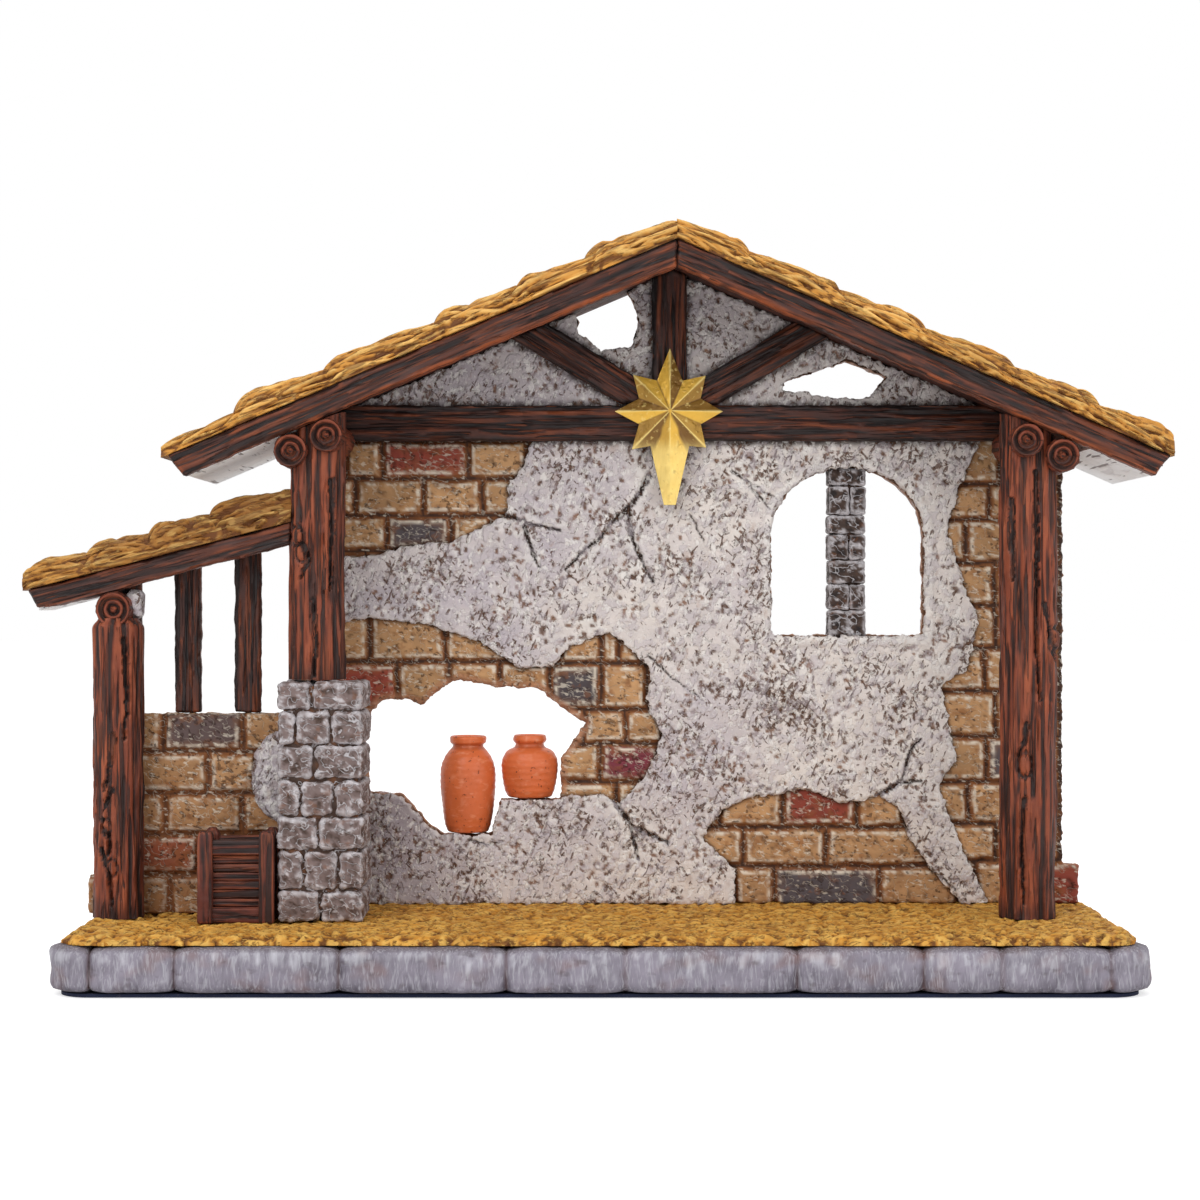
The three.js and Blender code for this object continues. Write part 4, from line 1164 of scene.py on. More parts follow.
@dataclass(frozen=True)
class Course:
    """One course of bricks in the photograph: its rows, its upright joints, and odd bricks."""

    top: float
    bottom: float
    joints: tuple[float, ...]
    odd: tuple[tuple[int, Paint], ...] = ()


@dataclass(frozen=True)
class Bond:
    """Courses of bricks, laid by where they show in the photograph."""

    courses: tuple[Course, ...]
    plane_y: float
    seed: int
    joint: float = 2.4
    joint_depth: float = 1.4

    def relief(self, x: Array, z: Array) -> Pair:
        """Depth and paint of the brickwork.

        Args:
            x: Across, in mm.
            z: Up, in mm.

        Returns:
            Depth behind the bricks' faces, and the paint.
        """
        wobble, rough, spot = Noise(self.seed), Noise(self.seed + 1), Noise(self.seed + 2)
        column = EYE.column(x, self.plane_y) + 1.5 * wobble.layers(x / 7, z / 7, 2)
        row = EYE.row(z, self.plane_y) + 1.2 * wobble.layers(z / 7 + 40, x / 9, 2)
        gap = np.full(x.shape, 0.0)
        tint = np.zeros(x.shape + (3,)) + Paint.BRICK_TAN.rgb
        tone = np.zeros(x.shape)
        for number, course in enumerate(self.courses):
            joints = np.array(course.joints)
            here = (row >= course.top) & (row < course.bottom)
            here &= (column >= joints[0]) & (column < joints[-1])
            brick = np.clip(np.searchsorted(joints, column) - 1, 0, len(joints) - 2)
            sides = np.minimum(column - joints[brick], joints[brick + 1] - column)
            ends = np.minimum(row - course.top, course.bottom - row)
            gap = np.where(here, np.minimum(sides, ends) * EYE.pixel_at(self.plane_y), gap)
            tone = np.where(here, np.sin(brick * 2.9 + number * 1.7), tone)
            for odd, paint in course.odd:
                tint[here & (brick == odd)] = paint.rgb
        fine = rough.layers(x / 3.2, z / 2.6, 4)
        half = self.joint / 2
        face = ramp(half - 0.5, half + 0.4, gap)
        pillow = ramp(half + 2.6, half, gap)
        pits = ramp(0.25, 0.6, spot.layers(x / 2.6, z / 2.2, 3)) * face
        depth = self.joint_depth * (1 - face) + 0.25 * pillow + 0.2 * fine
        depth = depth - 0.12 * tone * face + 0.35 * pits
        tint = tint * (1 + 0.12 * tone + 0.1 * fine)[..., None]
        rust = ramp(0.0, 0.9, spot.layers(x / 9, z / 7, 3)) * (tint[..., 0] > 2.2 * tint[..., 2])
        worn = ramp(-0.6, 0.6, wobble.layers(x / 8 + 70, z / 6, 3))
        edge = ramp(half + 3.5, half + 0.8, gap) * worn
        chance = rough.layers(x / 2.4 + 30, z / 2.0, 2)
        rim = ramp(half, half + 0.4, gap) * ramp(half + 1.7, half + 0.8, gap)
        rim = rim * ramp(-0.4, 0.3, chance)
        tint = painted(
            tint, (Paint.BRICK_TAN_DARK, 0.6 * rust), (Paint.MORTAR_DARK_AND_SHADOW, 0.55 * pits),
            (Paint.BRICK_TAN_DARK, 0.45 * edge), (Paint.BRICK_TIP, 0.85 * rim))
        return depth, painted(
            Paint.MORTAR_DARK_AND_SHADOW, (Paint.MORTAR, ramp(0.2, 0.85, gap + 0.25 * chance)),
            (tint, ramp(0.4, 0.9, face)))


def crack(x: Array, z: Array, path: Path, half: float, depth: float, seed: int) -> Array:
    """A crack or a scratch that tapers to its end.

    Args:
        x: Across, in mm.
        z: Up, in mm.
        path: Its corners in mm.
        half: Half its width where it is widest.
        depth: How deep it is there.
        seed: Seed of its wandering.

    Returns:
        Depth at each point.
    """
    noise = Noise(seed)
    gap, along = reach(x + 0.45 * noise.layers(x / 2.5, z / 2.5, 2),
                       z + 0.45 * noise.layers(z / 2.5 + 31, x / 2.5, 2), path)
    open_half = half * (0.45 + 0.55 * (1 - along))
    return depth * np.clip(1 - gap / open_half, 0, 1) ** 0.6 * (gap < open_half)


@dataclass
class BackWall:
    """The ruined back wall: bricks, a coat of plaster on them, a window and a breach.

    Its boxes are given as left, right, bottom and top, in mm.
    """

    plaster_step: float = 0.55
    brick_step: float = 0.6
    body_step: float = 1.1
    body_grow: float = -0.3
    coat: float = 2.0
    overlap: float = 3.0
    core_depth: float = 4.5
    split: float = 172.6
    rim_width: float = 2.6
    rim_proud: float = 0.4
    plane_y: float = 29.5
    ground: float = 17.4
    dip: float = 0.6
    dip_length: float = 30.0
    window: tuple[float, ...] = (46, 114, 96, 172)
    broken: tuple[float, ...] = (-999, 140, 26, 160)
    timbers: tuple[str, ...] = ("tie_beam", "king_post", "brace_left", "brace_right")
    dent_strokes: tuple[Stroke, ...] = (
        Stroke(2.8, 1.2, -0.55, 0.16, 1.2, 0.5), Stroke(2.2, 1.1, -0.55, 0.16, 0.5, 0.5),
        Stroke(1.8, 1.3, -0.55, 0.16, 2.2, 0.5),
    )
    courses: tuple[Course, ...] = (
        Course(440, 478.5, (300, 345, 382, 467.5, 527, 600), ((2, Paint.BRICK_RED),)),
        Course(478.5, 515.5, (300, 354.5, 422.5, 482, 540)),
        Course(515.5, 551, (300, 386, 450.5, 490, 560), ((1, Paint.BRICK_GREY),)),
        Course(551, 590, (300, 366, 430)),
        Course(596, 662, (300, 369, 445, 520, 560)),
        Course(662, 709.7, (300, 396.7, 449, 500, 549.7), ((0, Paint.BRICK_RED),)),
        Course(709.7, 744, (300, 352, 420)),
        Course(744, 782, (300, 370, 420)),
        Course(782, 815, (300, 356, 420)),
        Course(620, 663.5, (560, 601, 619, 641, 680)),
        Course(663.5, 709.7, (549.7, 601, 647, 690), ((0, Paint.BRICK_GREY),)),
        Course(709.7, 744, (549.7, 584, 626, 664, 700)),
        Course(744, 782, (549.7, 600.5, 661, 700), ((1, Paint.BRICK_PLUM),)),
        Course(782, 815, (549.7, 617, 640, 700)),
        Course(436, 483.6, (930, 1001, 1060)),
        Course(483.6, 519, (930, 990, 1060)),
        Course(519, 562.7, (930, 966.5, 1060)),
        Course(562.7, 605, (930, 995, 1060)),
        Course(605, 648, (930, 996, 1060), ((1, Paint.BRICK_RED),)),
        Course(648, 692, (930, 985, 1060)),
        Course(692, 736.6, (930, 996.5, 1060)),
        Course(736.6, 782, (930, 987, 1060), ((1, Paint.BRICK_GREY),)),
        Course(782, 823.7, (930, 969, 1060)),
        Course(823.7, 861, (945, 997, 1060)),
        Course(861, 915, (959, 975, 1020, 1100), ((2, Paint.BRICK_RED),)),
        Course(780, 827.5, (690, 720, 783, 857.5, 905), ((2, Paint.BRICK_RED),)),
        Course(827.5, 866.5, (690, 743, 826, 940)),
        Course(866.5, 915, (690, 735, 775, 880, 959), ((2, Paint.BRICK_GREY),)),
    )
    cracks: tuple[Path, ...] = (
        ((649, 476), (638, 496), (630, 506), (610, 524), (602, 537), (584, 550), (566, 570)),
        ((628, 508), (630, 529), (640, 558), (653, 582)),
        ((498, 513), (515, 518), (530, 524), (560, 530)),
        ((523, 521), (530, 545), (538, 566)),
        ((615, 801), (631, 826), (638, 860)),
        ((631, 826), (651, 835), (668, 844)),
        ((877, 797), (904, 781), (909, 753), (921, 739)),
        ((899, 783), (921, 781)),
    )
    scratches: tuple[Path, ...] = (
        ((732, 471), (755, 486), (781, 501)),
        ((750, 486), (770, 509)),
        ((690, 515), (704, 541)),
        ((648, 655), (668, 674), (702, 700)),
        ((470, 840), (488, 845), (503, 841)),
        ((931, 868), (957, 891)),
    )

    def build(self) -> None:
        """Moulds the coat, the bricks and the body."""
        self.core = Outline.of_node("brick_wall")
        self.coat_edge = Outline.of_node("plaster_coat")
        self.edges = [Outline.of_node(node) for node in self.timbers]
        self.bond = Bond(self.courses, self.plane_y + self.coat, 301)
        corners = self.coat_edge.corners()
        (left, bottom), (right, top) = corners.min(0), corners.max(0)
        self.dents = Net(right - left, top - bottom, self.plaster_step)
        self.corner = left, bottom
        drift = Noise(362)

        def crowd(u: float, v: float) -> float:
            """Chance that a dent at that place is kept, so that they lie in drifts."""
            return float(ramp(-0.5, 0.7, drift.layers(np.array(u / 15), np.array(v / 13), 3)))

        self.dents.strew(self.dent_strokes, 365, crowd)
        behind = self.plane_y + self.coat
        for name, low, high in (("plaster_wall", bottom, self.split),
                                ("plaster_gable", self.split, top)):
            panel = Panel(self.plane_y, behind + 0.1, self.plaster_step, 0.7, 0.9, 2.6, seed=310,
                          side_paint=Paint.BREACH)
            around = np.array([(left, low), (right, high)])
            panel.shell(around, self.band(low, high), self.plaster).piece(
                name, PLASTERED, "plaster", "plaster_coat")
        corners = self.core.corners()
        panel = Panel(behind + 0.2, self.plane_y + 7, self.brick_step, 0.9, 0.6, 3.2, seed=320,
                      side_paint=Paint.BREACH, side_rings=4, side_relief=0.6)
        panel.shell(corners, self.bare, self.brick).piece(
            "brick_face", BRICKED, "brick", "brick_wall")
        panel = Panel(box_of("brick_wall")[1][1], behind + self.core_depth, self.body_step, 0.8,
                      0.5, 4.0, seed=330, side_paint=Paint.BREACH, side_rings=5, side_relief=0.5)
        body = Outline(self.core.starts, self.core.ends, self.body_grow)
        panel.shell(corners, body.distance, self.rear).piece(
            "wall_back", PLASTERED, "plaster", "brick_wall")

    def band(self, bottom: float, top: float) -> Field:
        """The coat's outline between two heights.

        Args:
            bottom: The lower height, in mm.
            top: The upper height, in mm.

        Returns:
            Distance inside the edge of that band, for x and z.
        """
        def inside(x: Array, z: Array) -> Array:
            """Distance inside the edge of that band."""
            between = np.minimum(z - bottom, top - z) + 0.6
            return np.minimum(self.coat_edge.distance(x, z), between)
        return inside

    def bare(self, x: Array, z: Array) -> Array:
        """Distance inside what is bare brick, with a margin under the plaster."""
        return np.minimum(self.core.distance(x, z), self.overlap - self.coat_edge.distance(x, z))

    @staticmethod
    def within(x: Array, z: Array, box: tuple[float, ...]) -> Array:
        """Whether each point is inside a box, given as left, right, bottom and top."""
        return (x > box[0]) & (x < box[1]) & (z > box[2]) & (z < box[3])

    def swell(self, x: Array, z: Array) -> Array:
        """Depth of the long dips that the trowel left.

        Args:
            x: Across, in mm.
            z: Up, in mm.

        Returns:
            Depth at each point.
        """
        turn, height = 2 * math.pi / self.dip_length, z - self.ground
        across = np.sin(x * turn + 2 * np.sin(height * turn / 3))
        return self.dip / 2 * (1 + across * np.sin(height * turn + x * turn / 3))

    def plaster(self, x: Array, z: Array, edge: Array) -> Pair:
        """Relief and paint of the coat.

        Args:
            x: Across, in mm.
            z: Up, in mm.
            edge: Distance inside the coat's edge.

        Returns:
            Depth and paint.
        """
        lumps, grit, tone = Noise(341), Noise(342), Noise(343)
        depth = self.swell(x, z) + 0.12 * lumps.layers(x / 9, z / 8, 2)
        depth = depth + 0.13 * grit.layers(x / 2.8, z / 2.4, 3)
        window = self.core.distance(x, z)
        rim = ramp(0.0, 0.6, window) * ramp(self.rim_width + 0.9, self.rim_width - 0.3, window)
        rim = rim * self.within(x, z, self.window)
        depth = depth - self.rim_proud * rim
        pits = -self.dents.at(x - self.corner[0], z - self.corner[1]) * (1 - 0.7 * rim)
        cracks = np.zeros(x.shape)
        for paths, half, deep, seed in (
                (self.cracks, 1.0, 1.3, 350), (self.scratches, 0.65, 0.6, 370)):
            for number, path in enumerate(paths):
                line = EYE.path(path, self.plane_y)
                cracks = np.maximum(cracks, crack(x, z, line, half, deep, seed + number))
        depth = depth + pits + cracks
        wear = blurred(depth, 3) - depth
        warm = ramp(-0.7, 0.7, tone.layers(x / 45 + 3, z / 45, 2) + (x - 10) / 110)
        low_left = ramp(-30, -75, x) * ramp(105, 60, z)
        rust = ramp(-0.3, 0.5, tone.layers(x / 6 + 50, z / 6, 2))
        pit_paint = painted(Paint.PLASTER_PIT, (Paint.PLASTER_RUST, 0.6 * rust))
        # Painted shade on the gable plaster beside its timbers.
        timber_shade = self.shade(x, z) + 0.9 * grit.layers(x / 5, z / 5, 3)
        foot = z - self.ground + 0.8 * grit.at(x / 2, z)
        lip = ramp(1.2, 0.3, edge) * (cracks < 0.1)
        return depth, painted(
            Paint.PLASTER_COOL, (Paint.PLASTER_WARM, warm),
            (Paint.PLASTER, ramp(-0.5, 0.5, tone.layers(x / 12, z / 10, 3)) * 0.7),
            (Paint.PLASTER_SHADE, 0.75 * low_left),
            (Paint.PLASTER_SHADE, 0.25 * ramp(self.split - 4, self.split + 2, z)),
            (Paint.PLASTER_PIT, ramp(0.08, 0.4, -wear) * 0.4),
            (Paint.PLASTER_TIP, ramp(0.04, 0.2, wear) * 0.5),
            (pit_paint, ramp(0.12, 0.4, pits) * 0.85),
            (Paint.CRACK_AND_SHADE, 0.85 * ramp(3.0, 0.4, timber_shade)),
            (Paint.PLASTER_RUST, ramp(2.2, 0.1, foot) * 0.6),
            (Paint.CRACK_AND_SHADE, ramp(0.1, 0.5, cracks)), (Paint.PLASTER_TIP, lip * 0.4))

    def shade(self, x: Array, z: Array) -> Array:
        """Distance to the nearest timber on the gable, for the painted shade beside them.

        Args:
            x: Across, in mm.
            z: Up, in mm.

        Returns:
            The distance at each point in mm, and FAR below the gable.
        """
        nearest = np.full(x.shape, FAR)
        for outline in self.edges:
            nearest = np.minimum(nearest, -outline.distance(x, z))
        above = ramp(self.split - 14, self.split - 9, z)
        return nearest * above + FAR * (1 - above)

    def brick(self, x: Array, z: Array, edge: Array) -> Pair:
        """Relief and paint of the bare bricks, broken towards the edge of the wall.

        Args:
            x: Across, in mm.
            z: Up, in mm.
            edge: Distance inside the bare bricks' edge, which is not used.

        Returns:
            Depth and paint.
        """
        depth, colour = self.bond.relief(x, z)
        raw = ramp(2.6, 0.9, self.core.distance(x, z)) * self.within(x, z, self.broken)
        broken = Noise(380).layers(x / 3, z / 3, 3)
        # A painted shadow of the plaster coat's edge on the bricks beside it.
        under = ramp(1.2, -0.4, -self.coat_edge.distance(x, z))
        return depth + raw * (0.7 + 0.4 * broken), painted(
            colour, (Paint.BREACH.rgb * (1 + 0.3 * broken)[..., None], raw * 0.75),
            (Paint.MORTAR_DARK_AND_SHADOW, 0.8 * under))

    @staticmethod
    def rear(x: Array, z: Array, edge: Array) -> Pair:
        """Relief and paint of the plain rear of a wall.

        Args:
            x: Across, in mm.
            z: Up, in mm.
            edge: Distance inside the wall's edge, which is not used.

        Returns:
            Depth and paint.
        """
        swell, grit = Noise(391), Noise(392)
        depth = 0.5 + 0.4 * swell.layers(x / 18, z / 15, 3) + 0.2 * grit.layers(x / 3, z / 3, 3)
        wear = blurred(depth, 2) - depth
        return depth, painted(
            Paint.PLASTER_COOL, (Paint.PLASTER, ramp(-0.5, 0.6, swell.layers(x / 14, z / 11, 4))),
            (Paint.PLASTER_PIT, ramp(0.02, 0.3, -wear) * 0.5),
            (Paint.PLASTER_TIP, ramp(0.02, 0.2, wear) * 0.5))


@dataclass
class LowWall:
    """The low brick wall of the lean-to, the lump of plaster on it, and its slats."""

    step: float = 0.55
    courses: tuple[Course, ...] = (
        Course(706, 752, (60, 162, 243, 300), ((1, Paint.BRICK_GREY),)),
        Course(752, 794, (60, 118, 207, 256, 300)),
        Course(794, 834.5, (60, 164, 242, 300)),
        Course(834.5, 875, (60, 118, 199, 260, 300), ((1, Paint.BRICK_RED),)),
        Course(875, 925, (60, 100, 170, 214, 300)),
    )
    slats: tuple[str, ...] = ("slat_1", "slat_2", "slat_3")

    def build(self) -> None:
        """Moulds the wall, its patch and the slats."""
        outline = Outline.of_node("low_wall")
        low, high = box_of("low_wall")
        bond = Bond(self.courses, low[1], 401)

        def face(x: Array, z: Array, edge: Array) -> Pair:
            """Relief and paint of the front, browner towards the foot.

            Args:
                x: Across, in mm.
                z: Up, in mm.
                edge: Distance inside the wall's edge, which is not used.

            Returns:
                Depth and paint.
            """
            depth, colour = bond.relief(x, z)
            stain = ramp(low[2] + 60, low[2], z + 6 * Noise(402).layers(x / 12, z / 12, 3))
            return depth + 0.1, painted(colour, (Paint.MORTAR, 0.15 + 0.4 * stain))

        for name, front, step, relief, finish, slot in (
                ("low_wall_front", low[1], self.step, face, BRICKED, "brick"),
                ("low_wall_back", high[1], self.step * 1.5, BackWall.rear, PLASTERED, "plaster")):
            panel = Panel(front, (low[1] + high[1]) / 2, step, 0.8, 0.5, 4.0, seed=410,
                          side_paint=Paint.BRICK_TAN, side_rings=4, side_relief=0.4)
            panel.shell(outline.corners(), outline.distance, relief).piece(
                name, finish, slot, "low_wall")
        self.patch()
        for number, node in enumerate(self.slats):
            Timber(node, 430 + number, turn=90, shine=0.3).build()

    def patch(self) -> None:
        """Moulds the round lump of plaster."""
        outline = Outline.of_node("plaster_patch", 0.5)
        low, high = box_of("plaster_patch")
        panel = Panel(low[1], high[1] + 0.4, self.step, 0.6, 0.6, 3.0, seed=420)
        panel.shell(outline.corners(), outline.distance, self.lump).piece(
            "plaster_lump", PLASTERED, "plaster", "plaster_patch")

    @staticmethod
    def lump(x: Array, z: Array, edge: Array) -> Pair:
        """Relief and paint of a rough dome.

        Args:
            x: Across, in mm.
            z: Up, in mm.
            edge: Distance inside the lump's edge.

        Returns:
            Depth and paint.
        """
        depth = 0.8 * (1 - ramp(0, 5, edge)) + 0.3 * Noise(421).layers(x / 2.6, z / 2.2, 4)
        wear = blurred(depth, 2) - depth
        return depth, painted(
            Paint.PLASTER_COOL, (Paint.PLASTER_PIT, ramp(0.0, 0.2, -wear) * 0.7),
            (Paint.PLASTER_TIP, ramp(0.0, 0.15, wear) * 0.8))


@dataclass
class Timber:
    """A flat timber: its outline is the CAD node's, and its face has a hewn grain."""

    node: str
    seed: int
    turn: float = 0.0
    step: float = 0.45
    grow: float = 0.45
    shine: float = 0.6
    rim: float = 0.0
    knots: Path = ()
    knot_length: float = 9.0
    scores: tuple[Stroke, ...] = (
        Stroke(44, 1.5, -0.75, 0.75, 0, 0.02, 0.003, 0.1),
        Stroke(20, 1.0, -0.5, 1.0, 0, 0.05, 0.006, 0.1),
    )

    def build(self) -> None:
        """Moulds the timber."""
        outline = Outline.of_node(self.node, self.grow)
        low, high = box_of(self.node)
        self.panel = Panel(low[1], high[1] - 0.1, self.step, 0.9, 0.35, 6.0, seed=self.seed,
                           side_rings=4, side_relief=0.15, turn=math.radians(self.turn))
        self.eyes = [self.panel.laid(*place) for place in EYE.path(self.knots, low[1])]
        self.panel.shell(outline.corners(), outline.distance, self.relief).piece(
            self.node + "_timber", BEAMED, "dark_wood", self.node)

    def relief(self, x: Array, z: Array, edge: Array) -> Pair:
        """Grain that runs along the timber and opens round its knots.

        Args:
            x: Across, in mm.
            z: Up, in mm.
            edge: Distance inside the timber's edge.

        Returns:
            Depth and paint.
        """
        along, across = self.panel.laid(x, z)
        kept = edge > 0
        low, high = float(across[kept].min()), float(across[kept].max())
        start, span = float(along.min()), float(np.ptp(along))
        net = Net(span, high - low + 8, self.step)
        net.strew(self.scores, self.seed)
        wander = 0.9 * Noise(self.seed + 2).layers(along / 34, across / 12, 2)
        eye = np.zeros(x.shape)
        for knot_along, knot_across in self.eyes:
            da, db = (along - knot_along) / self.knot_length, across - knot_across
            spread = np.exp(-(da**2))
            wander = wander - 1.7 * spread * np.tanh(db / 1.2) * np.exp(-np.abs(db) / 5)
            eye = np.maximum(eye, np.exp(-(da * 2.2) ** 2 - (db / 1.1) ** 2))
        carved = net.at(along - start, np.clip(across - low + 4 + wander, 0, net.width))
        uneven = Noise(self.seed + 3).layers(along / 14, across / 5, 3)
        depth = 0.15 - carved + 0.5 * eye + 0.12 * uneven
        wear = blurred(depth, 3) - depth
        chance = Noise(self.seed + 4).layers(along / 12, across / 3.5, 3)
        place = (across - low) / (high - low)
        # A painted highlight along the lower side across the grain; the upper side is darker.
        lit = ramp(1.5, 0.5, edge) * ramp(0.45, 0.2, place) * ramp(-0.7, 0.1, chance)
        dark_upper_side = ramp(0.55, 0.95, place) * ramp(0.3, -0.6, chance)
        return depth, painted(
            BEAM_WASH.lay(wear - 0.3 * eye, chance - 0.1), (Paint.BEAM_DARK, 0.55 * dark_upper_side),
            (Paint.BEAM_TIP, self.shine * lit),
            (Paint.BEAM_DARK, self.rim * ramp(2.0, 0.6, edge + 0.6 * chance)))


@dataclass
class Post:
    """A hewn post: a rounded square section with grain, cracks and knots on its front."""

    node: str
    name: str
    seed: int
    top: Slope | None = None
    cracks: tuple[Path, ...] = ()
    knots: Path = ()
    knot_size: float = 2.6
    corner: float = 6.3
    crown: float = 0.0
    shift: float = 0.0
    step: float = 0.5
    spare: float = 0.2
    scores: tuple[Stroke, ...] = (
        Stroke(46, 1.9, -1.0, 0.75, 0.0, 0.025, 0.002, 0.1),
        Stroke(20, 1.1, -0.55, 1.0, 0.0, 0.05, 0.004, 0.1),
    )

    def build(self) -> None:
        """Moulds the post."""
        low, high = box_of(self.node)
        half_width, half_depth = (high[0] - low[0]) / 2 + self.spare, (high[1] - low[1]) / 2
        girth = girth_of(half_width, half_depth, self.corner)
        net = Net(high[2] - low[2], girth, self.step)
        net.strew(self.scores, self.seed)
        noise = Noise(self.seed + 2)
        net.height += 0.2 * noise.layers(net.u / 16, net.v / 3.0, 3)
        net.height -= net.height.mean() - 0.1
        behind = half_width - self.corner + girth / 2
        points, outward = walk(half_width, half_depth, self.corner, (net.v[0] + behind) % girth)
        swell = 1 - 0.03 * noise.layers(net.u / 24, net.v * 0, 2)
        swell = swell * (1 - self.crown * ramp(net.length - 4, net.length, net.u) ** 2)
        x = (low[0] + high[0]) / 2 + self.shift + points[:, 0] * swell
        y = (low[1] + high[1]) / 2 + points[:, 1] * swell
        z = low[2] + net.u
        front = points[:, 1] < 1.0
        scars = np.zeros(x.shape)
        for number, path in enumerate(self.cracks):
            line = EYE.path(path, low[1])
            scars = np.maximum(scars, front * crack(x, z, line, 1.1, 1.3, self.seed + 10 + number))
        boss = np.zeros(x.shape)
        for column, row in EYE.path(self.knots, low[1]):
            away = np.hypot(x - column, (z - row) / 1.7) / self.knot_size
            boss += front * (0.8 * np.exp(-(away**2)) - 0.9 * np.exp(-((away - 0.8) ** 2) * 30))
        net.height += boss - scars
        chance = Noise(self.seed + 3).layers(net.u / 16, net.v / 3.5, 3)
        colour = POST_WASH.lay(net.wear(1.6), chance)
        # Darker at random, at the foot, in cracks, and as painted shade on the side facing +x.
        for share in (ramp(0.1, 0.9, -chance) * 0.35, ramp(8, 0, net.u + 2 * chance) * 0.6,
                      ramp(0.5, 1.0, outward[:, 0]) * 0.5, ramp(0.2, 0.7, scars) * 0.9):
            colour = painted(colour, (Paint.POST_DARK, share))
        x += outward[:, 0] * net.height
        y += outward[:, 1] * net.height
        if self.top:
            z = np.minimum(z, self.top(x))
        rings = np.stack([x, y, z], -1)[:, :-1]
        skin(rings, colour[:, :-1]).piece(self.name, POSTED, "post_wood", self.node)


@dataclass
class Log:
    """A round log that lies front to back, with rings carved in its front end."""

    node: str
    seed: int
    around: int = 64
    step: float = 0.6
    rings: Path = ((0.67, 0.12), (0.27, 0.11))

    def build(self) -> None:
        """Turns the log."""
        low, high = box_of(self.node)
        radius = (high[0] - low[0]) / 2
        middle = (low + high) / 2
        end = np.linspace(0.03, 1, 20) * (radius - 0.3)
        bark = np.arange(low[1] + 0.6, high[1] - 0.1, self.step)
        inner = np.linspace(radius - 0.3, 0.5, 5)
        radii = np.concatenate([end, np.full(len(bark), radius), inner])
        places = np.concatenate([np.full(len(end), low[1]), bark, np.full(len(inner), high[1])])
        turn = np.linspace(0, 2 * math.pi, self.around, endpoint=False)
        r, t = np.meshgrid(radii, turn, indexing="ij")
        y = np.repeat(places[:, None], self.around, 1)
        noise = Noise(self.seed)
        wobble = noise.layers(3 + 1.1 * np.cos(t), 3 + 1.1 * np.sin(t), 2)
        share = r / radius
        face = np.arange(len(radii))[:, None] < len(end)
        place = share + 0.06 * wobble
        groove = sum(np.exp(-(((place - ring) / width) ** 2)) for ring, width in self.rings)
        groove = np.clip(groove, 0, 1) * face
        dish = 0.4 * ramp(0.72, 0.6, place) * face
        y = y + 1.2 * groove + dish
        grain = Noise(self.seed + 1).layers(t * radius / 1.4, y / 14, 3)
        r = r * (1 + 0.03 * wobble) + 0.35 * grain * ~face
        chance = noise.layers(t * 3, y / 5 + share * 4, 3)
        wear = np.where(face, 0.16 - 0.8 * groove, 0.2 * grain - 0.05)
        colour = POST_WASH.lay(wear, chance)
        points = np.stack([middle[0] + r * np.cos(t), y, middle[2] + r * np.sin(t)], -1)
        shell = skin(points, colour, (1, 0, 2))
        rings = np.stack([t * radius * 2, y, r * 1.6], -1).reshape(-1, 3)
        ends = np.repeat(face, self.around, 1).reshape(-1, 1)
        shell.grain[:-2] = np.where(ends, rings, shell.grain[:-2])
        shell.piece(self.node + "_log", POSTED, "post_wood", self.node)


def rough_block(low: Array, high: Array, seed: int, rough: float = 0.35, corner: float = 1.6,
                step: float = 0.7, wash: Wash = STONE_WASH) -> Shell:
    """A stone block with broken faces and worn corners.

    Args:
        low: Lowest corner in mm.
        high: Highest corner in mm.
        seed: Seed of its roughness.
        rough: Height of the roughness.
        corner: Radius of the corners.
        step: Spacing of the net.
        wash: Its paints.

    Returns:
        The closed shell.
    """
    size = high - low
    counts = np.maximum(3, np.round(size / step)).astype(int)
    index: dict[tuple[int, int, int], int] = {}
    quads = []

    for axis in range(3):
        a, b = (axis + 1) % 3, (axis + 2) % 3
        for side in (0, counts[axis]):
            for i in range(counts[a]):
                for j in range(counts[b]):
                    loop = []
                    for di, dj in ((0, 0), (1, 0), (1, 1), (0, 1)):
                        cell = [0, 0, 0]
                        cell[axis], cell[a], cell[b] = side, i + di, j + dj
                        loop.append(index.setdefault(tuple(cell), len(index)))
                    quads.append(loop if side else loop[::-1])
    share = np.array(list(index)) / counts
    flat = low + share * size
    inner = np.clip(flat, low + corner, high - corner)
    away = flat - inner
    length = np.maximum(np.linalg.norm(away, axis=1, keepdims=True), 1e-6)
    rim = (np.abs(away) > 0.05).sum(1) > 1
    points = np.where(rim[:, None], inner + away / length * corner, flat)
    normal = away / length
    noise, facet = Noise(seed), Noise(seed + 1)
    u = points[:, 0] + 0.7 * points[:, 1]
    v = points[:, 2] + 0.5 * points[:, 1]
    bumps = noise.layers(u / 3.2, v / 2.8, 4)
    planes = 1 - np.abs(facet.layers(u / 6, v / 5, 2)) * 2.4
    height = rough * bumps + 0.6 * rough * planes
    points = points + normal * height[:, None]
    edge = np.clip(length[:, 0] * rim / corner - 0.75, 0, 1)
    crease = ramp(0.35, 0.9, planes)
    wear = 0.25 * bumps + 0.38 * edge + 0.12 * crease - 0.07
    colour = wash.lay(wear, noise.layers(u / 1.9 + 50, v / 1.9, 3) + 0.25)
    grain = points + 7.3 * (seed % 97)
    return Shell(points, [np.array(quads)], colour, grain).outward()


